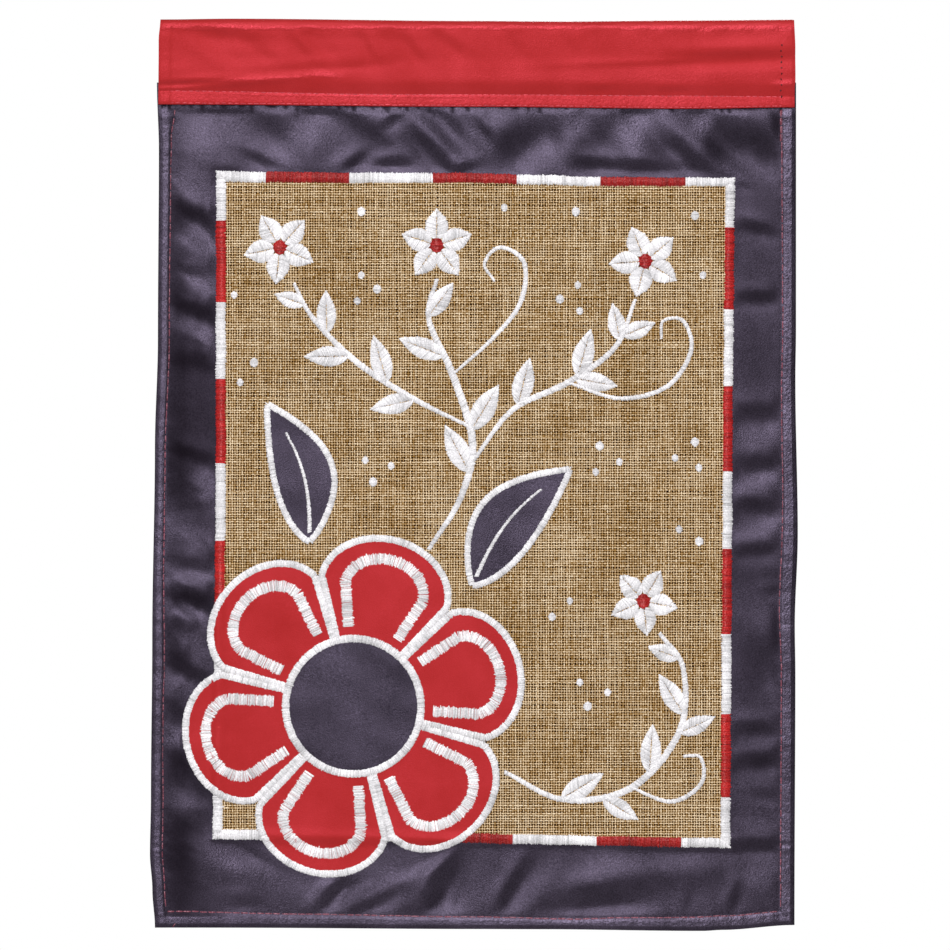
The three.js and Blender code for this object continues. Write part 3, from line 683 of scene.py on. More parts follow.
# Dark notches of uneven height under the sleeve's seam: painted shade.
notch = np.clip(np.random.default_rng(43).normal(-0.4, 1.9, len(columns)), -1.5, 3.3)[:, None]
below_band = row < BAND_FOOT + 1
painted_sheen = painted_sheen + 0.48 * ease((notch + row - BAND_FOOT) / 1.2 + 0.5) * below_band
ground = closed_sheet(
    "ground_cloth", raised(x, z, front), raised(x, z, -back), NAVY_SATIN, np.stack([x, z], -1), painted_sheen,
    -0.4 * painted_shine)

# %% [markdown]
# ## Stitches
# A stitch is a short length of thread that comes up through the cloth, lies on it and goes down again. Here it
# is a low arch: five stations along it, each with a left edge, a ridge and a right edge. All stitches of one
# colour are one mesh, worked out at once from the arrays of their two ends, so there are thousands of them and
# each can have its own length and tone.

# %% Stitch helper
STATIONS = np.array([0, 0.1, 0.5, 0.9, 1])
ARCH = np.array([-0.25, 0.72, 1, 0.72, -0.25])


def stitch_mesh(name, stitches, material, seed=5, uneven=0.09):
    """Arched threads from start to end. Along each one the ridge follows the arch times its lift above the
    surface's base height, and the edges lie half a thread lower."""
    start, end, width, lift, base, shade = (np.concatenate(part) for part in zip(*stitches))
    along = end - start
    length = np.maximum(np.linalg.norm(along, axis=1, keepdims=True), 1e-6)
    beside = np.stack([along[:, 1], -along[:, 0]], -1) / length
    middle_line = start[:, None] + along[:, None] * STATIONS[None, :, None]
    narrow = np.array([0.6, 1, 1, 1, 0.6])[None, :, None]
    sides = np.array([-1, 0, 1])[None, None, :, None]
    spot = middle_line[:, :, None] + sides * narrow[..., None] * (beside * width[:, None] / 2)[:, None, None]
    drop = np.array([0.45, 0, 0.45])[None, None] * width[:, None, None]
    height = base[:, :, None] + ARCH[None, :, None] * lift[:, None, None] - drop
    points = np.stack([spot[..., 0], -height, spot[..., 1]], -1)
    count = len(start)
    quads = grid_quads(len(STATIONS), 3)[:, ::-1]
    every = (quads[None] + (np.arange(count) * 15)[:, None, None]).reshape(-1, 4)
    draw = np.random.default_rng(seed)
    # Each stitch's tone differs at random and drifts slowly along its row, and one in ten is a little darker. The
    # scatter and the drift also paint the thread's uneven sheen, as painted highlight and shade.
    slow = np.convolve(draw.normal(0, 1, count + 24), np.hanning(25) / 3, "valid")
    tone_change = 0.16 * (draw.random(count) < 0.1)
    tone = shade * np.clip(0.96 + draw.normal(0, uneven, count) + 0.07 * slow - tone_change, 0.6, 1.3)
    return make_piece(name, points.reshape(-1, 3), every, material, tone=np.repeat(tone, 15))


def stitches(start, end, width, lift, layer, seed=3, fray=0.0, shade=1.0):
    """One batch of stitches as arrays. layer(x, z) is the height in front of the middle surface on which they
    lie. fray moves each end along the stitch by a random amount of that spread, each stitch slips a little
    sideways, and shade darkens them all."""
    draw = np.random.default_rng(seed)
    count = len(start)
    along = end - start
    unit = along / np.maximum(np.linalg.norm(along, axis=1, keepdims=True), 1e-6)
    slip = np.stack([unit[:, 1], -unit[:, 0]], -1) * draw.normal(0, 0.06, (count, 1))
    start = start + slip - unit * draw.normal(0, fray + 1e-9, (count, 1))
    end = end + slip + unit * draw.normal(0, fray + 1e-9, (count, 1))
    spot = start[:, None] + (end - start)[:, None] * STATIONS[None, :, None]
    base = cloth(spot[..., 0], spot[..., 1]) + layer(spot[..., 0], spot[..., 1])
    widths = width * draw.normal(1, 0.06, count)
    return start, end, widths, lift * draw.normal(1, 0.12, count), base, np.full(count, float(shade))


def walk(points, pitch):
    """Even steps along a polyline: positions and unit directions, by linear interpolation over its length."""
    steps = np.linalg.norm(np.diff(points, axis=0), axis=1)
    reach = np.concatenate([[0], np.cumsum(steps)])
    at = np.arange(pitch / 2, reach[-1], pitch)
    spot = np.stack([np.interp(at, reach, points[:, k]) for k in (0, 1)], -1)
    ahead = np.stack([np.interp(at + 0.3, reach, points[:, k]) for k in (0, 1)], -1)
    behind = np.stack([np.interp(at - 0.3, reach, points[:, k]) for k in (0, 1)], -1)
    unit = ahead - behind
    return at, spot, unit / np.linalg.norm(unit, axis=1, keepdims=True)


# %% [markdown]
# ## Hem stitching
# A machine's topstitch shows as dashes about 4 mm long with a needle hole between them. The dashes follow the
# seam's wandering line, a stitch's length at a time. A second pass locks the seam at the top right.

# %% Hem stitching
STITCH_STEP = 4.1
STITCH_LENGTH = 3.95


def seam_line(side):
    """The points of one hem's stitching, at 1 mm steps, from the inset table of that side."""
    if side == "foot":
        at = np.arange(-153.5, 153.5, 1.0)
        x, z = field_spot(at, -FLAG_HEIGHT + stitch_inset("foot", at))
    else:
        at = np.arange(-44.5, -449.5, -1.0)
        inset = stitch_inset(side, at) - 0.35
        x, z = field_spot(inset - FLAG_WIDTH / 2 if side == "left" else FLAG_WIDTH / 2 - inset, at)
    return np.stack([x, z], -1)


def dashes(points, layer, seed, step=STITCH_STEP, dash=STITCH_LENGTH, width=0.72, lift=0.26, shade=0.9):
    """Topstitches along a line of points, each a dash long, one step apart."""
    _, spot, unit = walk(points, step)
    return stitches(spot - unit * dash / 2, spot + unit * dash / 2, width, lift, layer, seed, 0.12, shade)


def on_field(x, z):
    """Height of the field's face."""
    return np.full(np.shape(x), FIELD_FACE)


hem_seams = [dashes(seam_line(side), on_field, n) for n, side in enumerate(("left", "right", "foot"))]
second_pass = seam_line("right")[:17] + (-0.7, 0)
hem_seams.append(dashes(second_pass, on_field, 8))
thread_tail = np.array([[-153.1, -456.2]]), np.array([[-151.5, -454.0]])
hem_seams.append(stitches(*thread_tail, 0.5, 0.5, on_field, shade=1.1))
hem_thread = stitch_mesh("hem_stitches", hem_seams, TOPSTITCH_THREAD)

# %% [markdown]
# ## The sleeve
# A strip of red satin is folded in half over the rod, and its two flaps hold the ground cloth between them. The
# surface is a section carried along X: up the back flap, over the fold and down the front flap. A smooth curve
# goes through the section's few points, and the thickness is laid inwards along its normals.

# %% A smooth curve through points
def smooth_path(points, count):
    """Catmull-Rom curve: through every point, with each tangent along the line between its neighbours."""
    points = np.array(points, float)
    ends = np.vstack([2 * points[0] - points[1], points, 2 * points[-1] - points[-2]])
    t = np.linspace(0, len(points) - 1, count)
    k = np.minimum(t.astype(int), len(points) - 2)
    u = (t - k)[:, None]
    a, b, c, d = (ends[k + n] for n in range(4))
    return 0.5 * (2 * b + (c - a) * u + (2 * a - 5 * b + 4 * c - d) * u**2 + (3 * b - a - 3 * c + d) * u**3)


# %% Sleeve tables
# Columns: drop below the fold, bulge
SLEEVE_SECTION = [
    (0, 0), (0.5, 1.5), (1.7, 2.9), (3.2, 3.6), (5, 3.8), (10, 3.65), (16, 3.4), (20, 3.25),
    (25, 3.3), (30.5, 3.25), (33.8, 2.5), (36.6, 1.55), (37.2, 1.4), (37.9, 1.55), (40, 1.6), (42.3, 1.6),
    (43.3, 1.25)]
# Columns: x, z, angle in degrees, length, width, forward
SLEEVE_CREASES = [
    (-115, -30, 4.5, 92, 3.5, 0.5), (101, -20, 1.8, 118, 5, 0.45), (-60, -9, -2, 70, 4, -0.2)]
# Columns: x, z, angle in degrees, length, width, slope
SLEEVE_LEANS = [
    (-90, -10.3, -45, 18, 5, 0.12), (-54, -13, -60, 18, 5, 0.14), (-31, -13.5, -50, 20, 6, 0.14),
    (-12, -10.8, -40, 16, 6, 0.14), (-126, -6, -6, 42, 6, 0.16), (-76, -21.5, 5, 60, 4, 0.12),
    (-63, -22.8, 5, 34, 3, 0.14),
    (-140, -30.4, 3.5, 46, 2.2, 0.4), (-110, -28.8, 4, 46, 2.4, -0.2), (-152, -33.8, 1, 24, 4.5, -0.26),
    (-132, -15.6, -35, 30, 7, -0.09), (-79.6, -15.6, -40, 24, 6, -0.09), (134.5, -16.6, 1.5, 62, 6, 0.34),
    (86.8, -21.6, 2, 92, 2.2, 0.14), (129, -23, 2, 70, 5, -0.1), (62.4, -33.6, 0, 14, 4, 0.1),
    (99.5, -34.4, 0, 18, 4, 0.12), (155.6, -31, 3, 12, 2.2, -0.3), (20, -11, -50, 22, 7, 0.08),
    (48, -12, -60, 20, 6, 0.08), (-108, -14, -35, 22, 6, 0.08),
]
# Columns: x, z, angle in degrees, length, width, shine. A positive shine is a painted highlight, a negative one
# painted shade.
SLEEVE_PAINTED_SHINE = [
    (-99, -28.5, 3.6, 64, 1.5, 1.5), (-74, -27.2, -12, 13, 2.6, 1.3), (155.5, -31.4, 4, 11, 1.8, 1.6),
    (124, -4.2, 0, 86, 3, 0.9), (-132, -2.2, -1, 62, 2.6, 0.9), (-60, -37.3, -0.5, 130, 1.1, 1.4),
    (0, -40.4, -0.5, 420, 6, 0.85), (62, -29.3, 0.4, 210, 8, 0.45), (138, -17.5, 6, 50, 6, -0.5),
]
STRIP_LINE = {"x": [-160, -38, 2, 112, 160], "z": [-35.3, -37.2, -37.3, -37.9, -38.3]}
STRIP_DROP = 37.2


# %% Sleeve surface
def sleeve_z(x, drop):
    """Height of a drop on the sleeve. The fold, the stitch line and the foot each have their own uneven line."""
    low = drop / -BAND_FOOT
    plain = (1 - low) * read(SLEEVE_TOP, x) + low * read(BAND_WAVE, x)
    share = STRIP_DROP / -BAND_FOOT
    at_strip = -STRIP_DROP + (1 - share) * read(SLEEVE_TOP, x) + share * read(BAND_WAVE, x)
    near = ease((drop - 28) / (STRIP_DROP - 28)) * ease((-BAND_FOOT - drop) / (-BAND_FOOT - STRIP_DROP))
    return plain - drop + near * (read(STRIP_LINE, x) - at_strip)


def sleeve_relief(x, z):
    """Creases, leans and the lumpy top fold of the front flap, and small puckers along the stitched strip."""
    above = ease((z - read(STRIP_LINE, x)) / 2.5)
    scallop = 0.2 * np.exp(-(((z + 4.2) / 1.6) ** 2)) * ripple(x, (13, 21, 37), 9)
    strip = (1 - above) * 0.06 * ripple(x, (2.9, 4.7, 7.7), 10)
    return above * (ridges(SLEEVE_CREASES, x, z) + leans(SLEEVE_LEANS, x, z) + scallop) + strip


def sleeve_points():
    """Outer and inner grids of the sleeve, with i along X and j along the section."""
    flap = np.array(SLEEVE_SECTION[1:])
    section = np.concatenate([(flap * (1, -1))[::-1], [[0, 0]], flap])
    path = smooth_path(section, 116)
    slope = np.gradient(path, axis=0)
    normal = np.stack([-slope[:, 1], slope[:, 0]], -1)
    normal /= np.linalg.norm(normal, axis=1, keepdims=True)
    across = columns[:, None]
    ends = FLAG_WIDTH / 2 - np.abs(across)
    hem = 0.3 * ease(ends / 2) * (1 - ease((ends - 5) / 2))
    grids = []
    for inset in (0.0, SATIN):
        drop = path[:, 0] - inset * normal[:, 0] + 0 * ends
        out = path[:, 1] - inset * normal[:, 1] + 0 * ends
        z = sleeve_z(across, drop)
        right = across / FLAG_WIDTH + 0.5
        x = across + (1 - right) * read(SLEEVE_LEFT, z) + right * read(SLEEVE_RIGHT, z)
        front = ease(out / 0.8)
        swell = np.sign(out) * (hem if inset == 0 else 0)
        grids.append(np.stack([x, -(cloth(x, z) + out + front * sleeve_relief(x, z) + swell), z], -1))
    return grids


def on_sleeve(x, z):
    """Height of the front flap's face over the middle surface, read back from the section."""
    drops = np.linspace(0, -BAND_FOOT, 400)
    flap = np.array(SLEEVE_SECTION)
    bulge = np.interp(drops, flap[:, 0], flap[:, 1])
    centre = np.clip(x, -FLAG_WIDTH / 2, FLAG_WIDTH / 2)
    drop = -z
    for _ in range(4):
        drop = np.clip(drop + sleeve_z(centre, drop) - z, 0, -BAND_FOOT)
    return np.interp(drop, drops, bulge) + sleeve_relief(x, z)


# %% Sleeve mesh
outer, inner = sleeve_points()
length_uv = np.broadcast_to(np.arange(outer.shape[1])[None] * 1.0, outer.shape[:2])
across, up = outer[..., 0], outer[..., 2]
# A thin painted highlight runs along the line near the top fold, and the table adds painted highlights, with one
# painted shade, on the front flap.
crease = -3.3 + 0.5 * ripple(across, (13, 21, 37), 9)
sleeve_painted_shine = -1.8 * np.exp(-(((up - crease) / 0.8) ** 2)) - ridges(SLEEVE_PAINTED_SHINE, across, up)
sleeve_painted_shine = sleeve_painted_shine * (outer[..., 1] < 0)
sleeve = closed_sheet("rod_sleeve", outer, inner, RED_SATIN, np.stack([across, length_uv], -1), sleeve_painted_shine)

# %% Sleeve stitching
def on_sleeve_hem(x, z):
    """Height of the thickened end of the sleeve."""
    return on_sleeve(x, z) + 0.3


strip_x = np.arange(-158.5, 159.5, 1.0)
upper_row = np.stack([strip_x, read(STRIP_LINE, strip_x)], -1)
lower_row = np.stack([strip_x, -42.5 + read(BAND_WAVE, strip_x)], -1)
# The end row's short, nearly black dashes are painted shade of needle holes, in the sleeve thread's hue.
end_row = np.stack([153.4 + 0.3 * np.sin(np.arange(30)), -np.arange(11.0, 41.0)], -1)
sleeve_seams = [
    dashes(upper_row, on_sleeve, 21, 3.3, 3.0, 0.45, 0.2, 1.0),
    dashes(lower_row, on_sleeve, 22, 3.3, 3.0, 0.45, 0.2, 1.0),
    dashes(end_row, on_sleeve_hem, 23, 2.9, 0.9, 0.8, 0.16, 0.12)]
sleeve_thread = stitch_mesh("sleeve_stitches", sleeve_seams, SLEEVE_THREAD)

# %% [markdown]
# ## Burlap
# Burlap is a plain weave of thick, uneven yarns with open holes between them. A texture could paint it, but
# real yarns give real holes, with the dark cloth showing through. Each yarn is a ribbon with one crossing for
# each yarn that it meets. It rises over one and dips under the next, its width swells and thins, and a bump
# across it makes it look round. The yarns across and the yarns down are two meshes.

# %% Burlap yarns
PITCH_ACROSS = 1.285
PITCH_DOWN = 1.31
CUT_INSET = 1.8


def wander(shape, spread, smoothing, seed):
    """Smooth random walks along the last axis: white noise averaged over a number of crossings."""
    noise = np.random.default_rng(seed).normal(0, 1, shape)
    kernel = np.hanning(smoothing + 2)[1:-1]
    kernel /= np.sqrt((kernel**2).sum())
    spectrum = np.fft.rfft(noise, axis=-1) * np.fft.rfft(kernel, shape[-1])
    return spread * np.fft.irfft(spectrum, shape[-1], axis=-1)


def yarn_ribbons(name, down_the_flag, seed):
    """All yarns of one direction. Crossing (k, n) of yarn k lies at n pitches along it, above or below the
    middle by turns, and its two edges lie half a width to either side."""
    box = PANEL_CORNERS
    xs = np.arange(box["left"] - 2, box["right"] + 3, PITCH_ACROSS)
    zs = np.arange(box["top"] + 3, box["foot"] - 4, -PITCH_DOWN)
    if down_the_flag:
        place, along = np.meshgrid(xs, zs, indexing="ij")
    else:
        place, along = np.meshgrid(zs, xs, indexing="ij")
    shape = place.shape
    parity = (np.arange(shape[0])[:, None] + np.arange(shape[1])[None]) % 2 * 2 - 1
    side = parity if down_the_flag else -parity
    centre = place + wander(shape, 0.1, 40, seed) + wander(shape, 0.04, 4, seed + 1)
    own = np.random.default_rng(seed + 3).normal(0, 0.04, (shape[0], 1))
    width = np.clip((0.70 if down_the_flag else 0.73) + own + wander(shape, 0.07, 14, seed + 2), 0.5, 1.05)
    edges = centre[..., None] + np.array([-0.5, 0.5]) * width[..., None]
    run = np.broadcast_to(along[..., None], edges.shape)
    x, z = (edges, run) if down_the_flag else (run, edges)
    flat = 0.5 + 0.5 * ease((inside_panel(x, z) - 1) / 3)
    height = cloth(x, z) + flat * (BURLAP_MIDDLE + YARN_WAVE * side[..., None])
    points = np.stack([x, -height, z], -1).reshape(-1, 3)
    k, n = np.meshgrid(np.arange(shape[0]), np.arange(shape[1] - 1), indexing="ij")
    first = (k * shape[1] + n) * 2
    quads = np.stack([first, first + 2, first + 3, first + 1], -1)
    middle_x = x[:, :-1].mean(-1)
    middle_z = z[:, :-1].mean(-1)
    kept = inside_panel(middle_x, middle_z) > CUT_INSET
    quads = quads[kept]
    u = np.broadcast_to(np.array([0.0, 1.0]), edges.shape)
    v = np.broadcast_to(np.arange(shape[1])[None, :, None], edges.shape)
    uv = np.stack([u, v], -1).reshape(-1, 2)
    each = np.random.default_rng(seed + 4).normal(0, 0.04, (shape[0], 1, 1))
    speck = np.random.default_rng(seed + 6).normal(0, 0.09, shape)
    # A yarn is paler where it rides over a crossing and darker where it dips under: painted shade. Each yarn's
    # own tone, its specks and its drift differ at random.
    tone = 0.42 + each + (0.30 * side + speck + wander(shape, 0.05, 12, seed + 5))[..., None] + 0 * edges
    used = np.zeros(len(points), bool)
    used[quads.ravel()] = True
    renumber = np.cumsum(used) - 1
    return make_piece(name, points[used], renumber[quads], BURLAP_YARN, uv[used], tone.reshape(-1)[used])


warp = yarn_ribbons("burlap_warp", True, 30)
weft = yarn_ribbons("burlap_weft", False, 60)

# %% [markdown]
# ## The stitched border
# A dense satin stitch covers the burlap's cut edge all round, red and white by turns. Its threads lie square
# to the edge, from the navy cloth to the burlap, and their ends are a little ragged.

# %% Border
THREAD_PITCH = 0.42
THREAD_WIDTH = 0.56


def border_corner(name):
    """Outer corner points of the border, which lean as the sewn panel does."""
    box = PANEL_CORNERS
    return np.array({
        "top_left": (box["left"], box["top"] + 1.6), "top_right": (box["right"] + 1, box["top"] - 1.9),
        "foot_right": (box["right"] - 1.3, box["foot"] - 2),
        "foot_left": (box["left"] - 1.8, box["foot"] + 2.4),
    }[name])


# Lengths of the runs along each side, white and red by turns
ACROSS_RUNS = [25, 42, 42, 42, 42, 42.8, 24.7]
DOWN_RUNS = [25, 41, 38.5, 42.5, 39, 42.7, 39.8, 42, 25.4]
# Columns: from corner, to corner, runs, bow inwards, width
BORDER_SIDES = [
    ("top_left", "top_right", ACROSS_RUNS,
     {"at": [0, 60, 133, 160, 194, 230, 261], "in": [0, -0.1, -0.65, -0.2, 0.45, 0.2, 0]},
     {"at": [0, 40, 130, 261], "wide": [5.8, 5.6, 5.2, 4.5]}),
    ("top_right", "foot_right", DOWN_RUNS,
     {"at": [0, 120, 337], "in": [0, 0.2, 0]}, {"at": [0, 337], "wide": [5, 5.2]}),
    ("foot_right", "foot_left", ACROSS_RUNS[::-1],
     {"at": [0, 90, 152, 210, 261], "in": [0, 0.2, 0.45, 0.1, 0]}, {"at": [0, 261], "wide": [5, 5.3]}),
    ("foot_left", "top_left", DOWN_RUNS[::-1],
     {"at": [0, 90, 182, 260, 337], "in": [0, 0.3, 0.65, 0.2, 0]}, {"at": [0, 337], "wide": [5.3, 5.3]})]


def on_border(x, z):
    """Height under the border's stitches: the step from the field up to the burlap."""
    return FIELD_FACE + (PANEL_LIFT - FIELD_FACE) * ease((inside_panel(x, z) - 0.4) / 1.6)


def border_batches():
    """White and red stitches of all four sides, split by their place along each side. Red thread that runs
    across the flag catches more light than thread that runs down it."""
    batches = {"white": [], "red": []}
    for n, (start, end, runs, bow, width) in enumerate(BORDER_SIDES):
        a, b = border_corner(start), border_corner(end)
        length = np.linalg.norm(b - a)
        at, spot, unit = walk(np.array([a, b]), THREAD_PITCH)
        inward = np.stack([unit[:, 1], -unit[:, 0]], -1)
        spot = spot + inward * (read(bow, at) + 0.12 * ripple(at, (23, 41), 70 + n))[:, None]
        mitre = np.minimum(np.clip(np.minimum(at, length - at) + 0.3, 0.6, None), read(width, at))
        ends = np.cumsum(runs) * length / sum(runs)
        white = np.searchsorted(ends, at) % 2 == 0
        outer_end, inner_end = spot, spot + inward * mitre[:, None]
        red_shade = 0.8 if n % 2 == 0 else 1.16
        for colour, chosen, shade in (("white", white, 1.0), ("red", ~white, red_shade)):
            ends_of_all = outer_end[chosen], inner_end[chosen]
            batches[colour].append(
                stitches(*ends_of_all, THREAD_WIDTH, BORDER_LIFT, on_border, 80 + n, 0.2, shade))
    return batches


border = border_batches()
border_white = stitch_mesh("border_white", border["white"], WHITE_THREAD)
border_red = stitch_mesh("border_red", border["red"], RED_THREAD, uneven=0.16)

# %% [markdown]
# ## The flower's cloth pieces
# Applique is cloth cut to shape and sewn on. Each petal is a fan with straight sides and a half-oval end, as
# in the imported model. Its grid runs from the flower's middle to the tip, and its lines crowd together near the
# tip, where the width closes. Where a petal crosses the panel's edge it steps down to the navy cloth.

# %% Petals
FLOWER_TURN = 15
PETAL_COUNT = 6
PETAL_INNER, PETAL_SHOULDER = 25, 60
PETAL_SIDE = math.tan(math.radians(28.4))
CENTRE_RADIUS = 34


def on_applique(x, z):
    """Height of the applique cloth's face: over the burlap, over the border's ridge and down to the field,
    with the soft lumps that its stitching draws up."""
    lumps = ripple(0.4 * x + z + 3 * np.sin(x / 9), (21, 34, 55), 12)
    return FIELD_FACE + APPLIQUE_LIFT + panel_lift(x, z) + 0.1 * lumps


def turned(along, across, turn, origin):
    """Points given along and across a direction, turned by an angle in degrees and moved to an origin."""
    c, s = math.cos(math.radians(turn)), math.sin(math.radians(turn))
    return origin[0] + along * c - across * s, origin[1] + along * s + across * c


def petal_width(along):
    """Half width of a petal: it grows with the distance from the middle, then closes as a half oval."""
    oval = np.clip((along - PETAL_SHOULDER) / (PETAL_TIP - PETAL_SHOULDER), 0, 1)
    return PETAL_SIDE * np.minimum(along, PETAL_SHOULDER) * np.sqrt(np.clip(1 - oval**2, 1e-5, 1))


def applique_sheet(name, x, z, height, material, turn):
    """A thin closed cloth piece whose weave follows its own direction."""
    c, s = math.cos(math.radians(turn)), math.sin(math.radians(turn))
    uv = np.stack([x * c + z * s, z * c - x * s], -1)
    return closed_sheet(name, raised(x, z, height), raised(x, z, height - SATIN), material, uv)


def petal(number):
    """One petal: lines along it are spaced as a cosine towards the tip."""
    turn = FLOWER_TURN + (number - 1) * 360 / PETAL_COUNT
    straight = np.linspace(PETAL_INNER, PETAL_SHOULDER, 19)[:-1]
    closing = PETAL_SHOULDER + (PETAL_TIP - PETAL_SHOULDER) * np.sin(np.linspace(0, math.pi / 2, 20))
    along = np.concatenate([straight, closing])[::-1]
    share = np.linspace(1, -1, 33)
    along, share = np.meshgrid(along, share, indexing="xy")
    x, z = turned(along, share * petal_width(along), turn, FLOWER)
    x, z = x.T[:, ::-1], z.T[:, ::-1]
    return applique_sheet(f"petal_cloth_{number}", x, z, on_applique(x, z), RED_SATIN, turn)


petals = [petal(n) for n in range(1, PETAL_COUNT + 1)]

# %% Flower centre
CENTRE_LIFT = 0.4


def on_centre(x, z):
    """Height of the centre's face, one cloth above the petals."""
    return on_applique(x, z) + CENTRE_LIFT


def flower_centre():
    """A disc with no pole: a square grid whose points are drawn in so that its border is the circle."""
    u, v = np.meshgrid(np.linspace(-1, 1, 49), np.linspace(1, -1, 49), indexing="ij")
    x = FLOWER[0] + CENTRE_RADIUS * u * np.sqrt(1 - v**2 / 2)
    z = FLOWER[1] + CENTRE_RADIUS * v * np.sqrt(1 - u**2 / 2)
    return applique_sheet("centre_cloth", x, z, on_centre(x, z), NAVY_SATIN, 20)


centre = flower_centre()

# %% Leaves
# Columns: name, x, z, angle in degrees, length, bend, half width
LEAVES = [("leaf_1", -2, -284, 50, 76, 7, 15.5), ("leaf_2", -84, -262, 107, 72, -7, 15)]


def leaf_line(share, side, row):
    """A point on a leaf: along its bent middle line by a share, and out to one side by a share of its width."""
    _, x, z, angle, length, bend, half_width = row
    swell = half_width * np.sin(math.pi * np.clip(share, 0, 1) ** 0.85) ** 0.9
    across = bend * np.sin(math.pi * share) + side * np.maximum(swell, 0.04)
    return turned(length * share, across, angle, (x, z))


def leaf_cloth(row):
    """One applique leaf: a grid of shares along it and across it."""
    share = (1 - np.cos(np.linspace(0, math.pi, 46))) / 2
    along, side = np.meshgrid(share, np.linspace(-1, 1, 21), indexing="ij")
    x, z = leaf_line(along, side, row)
    return applique_sheet(f"{row[0]}_cloth", x, z, on_applique(x, z), NAVY_SATIN, row[3])


leaf_cloths = [leaf_cloth(row) for row in LEAVES]

# %% [markdown]
# ## Outlines and bands
# A satin-stitched outline holds each cloth piece down and hides its cut edge. The stitches stand square to the
# outline, half on the piece and half beside it. Inside each petal a second, wider band of white thread lets
# some red show between its threads.

# %% Outlines
OUTLINE_WIDTH = 3.8
OUTLINE_LIFT = 0.6


def rope(points, width, lift, layer, seed, pitch=THREAD_PITCH, slant=0.0, fray=0.14):
    """Satin stitches square to a line, or slanted, half of the width on each side of it. width may be a
    function of the share of the line."""
    at, spot, unit = walk(points, pitch)
    share = at / at[-1]
    half = (width(share) if callable(width) else np.full(len(at), width)) / 2
    turn = math.radians(slant)
    square = np.stack([unit[:, 1], -unit[:, 0]], -1)
    across = square * math.cos(turn) + unit * math.sin(turn)
    a, b = spot - across * half[:, None], spot + across * half[:, None]
    return stitches(a, b, THREAD_WIDTH, lift, layer, seed, fray)


def petal_edge(number, scale=1.0, start=PETAL_INNER + 6.5, tip=PETAL_TIP):
    """The line round one petal from one side of its foot to the other, drawn in by a scale."""
    turn = FLOWER_TURN + (number - 1) * 360 / PETAL_COUNT
    angle = np.linspace(-math.pi / 2, math.pi / 2, 60)
    shoulder = PETAL_SIDE * PETAL_SHOULDER * scale
    low = np.array([[start, -PETAL_SIDE * start * scale]])
    end = np.stack([PETAL_SHOULDER + (tip - PETAL_SHOULDER) * np.cos(angle), shoulder * np.sin(angle)], -1)
    line = np.concatenate([low, end, low * (1, -1)])
    return np.stack(turned(line[:, 0], line[:, 1], turn, FLOWER), -1)


def over_applique(x, z):
    """Height under the outlines."""
    return on_applique(x, z) - 0.15


def over_centre(x, z):
    """Height under the centre's outline."""
    return on_centre(x, z) - 0.1


circle = np.linspace(0, 2 * math.pi, 200)
ring = FLOWER + CENTRE_RADIUS * np.stack([np.cos(circle), np.sin(circle)], -1)
outlines = [rope(petal_edge(n), OUTLINE_WIDTH, OUTLINE_LIFT, over_applique, 100 + n) for n in range(1, 7)]
outlines.append(rope(ring, OUTLINE_WIDTH + 0.2, OUTLINE_LIFT, over_centre, 110))
for n, row in enumerate(LEAVES):
    shares = np.linspace(0, 1, 60)
    there = np.stack(leaf_line(shares, -1, row), -1)
    back_again = np.stack(leaf_line(shares[::-1], 1, row), -1)
    loop = np.concatenate([there, back_again])
    outlines.append(rope(loop, OUTLINE_WIDTH - 0.4, OUTLINE_LIFT, over_applique, 120 + n))
    vein = np.stack(leaf_line(np.linspace(0.06, 0.78, 40), 0, row), -1)
    outlines.append(rope(vein, lambda s: 2.4 - 1.2 * s, 0.45, on_applique, 130 + n, slant=25))
outline_piece = stitch_mesh("applique_outlines", outlines, WHITE_THREAD)

# %% Petal bands
BAND_WIDTH = 6.0
bands = [rope(petal_edge(n, 0.62, 38, 76), BAND_WIDTH, 0.35, on_applique, 140 + n, pitch=0.58, fray=0.25)
         for n in range(1, 7)]
band_piece = stitch_mesh("petal_bands", bands, WHITE_THREAD, uneven=0.12)

# %% [markdown]
# ## The embroidered sprigs
# White sprigs fill the rest of the panel. Each stem is a smooth curve through a few points, and leaves are
# placed on it by a share of its length, so that they follow it. A stitched leaf is two rows of slanted threads
# that meet on its middle line.

# %% Where the sprigs grow
# Columns: points along the stem, width at its ends, width at its middle
STEMS = {
    "main": ([(-24, -266), (-8, -240), (-2, -212), (-12, -178), (-24, -150), (-20, -130)], 2.2, 4.2),
    "right": ([(-2, -222), (18, -196), (46, -182), (70, -164), (80, -140)], 1.8, 3.4),
    "left": ([(-4, -204), (-32, -190), (-60, -172), (-82, -150), (-92, -132)], 1.8, 3.4),
    "low": ([(14, -378), (44, -392), (78, -386), (102, -358), (104, -326), (92, -308)], 2.2, 3.8),
    "curl_right": (
        [(46, -182), (72, -190), (96, -184), (108, -166), (104, -151), (94, -151), (93, -160)], 1.4, 2.6),
    "curl_middle": (
        [(-12, -178), (8, -160), (22, -142), (24, -122), (12, -114), (4, -122), (9, -131)], 1.4, 2.6),
    "curl_low": ([(78, -386), (98, -393), (113, -384), (113, -371), (104, -370)], 1.4, 2.4),
}
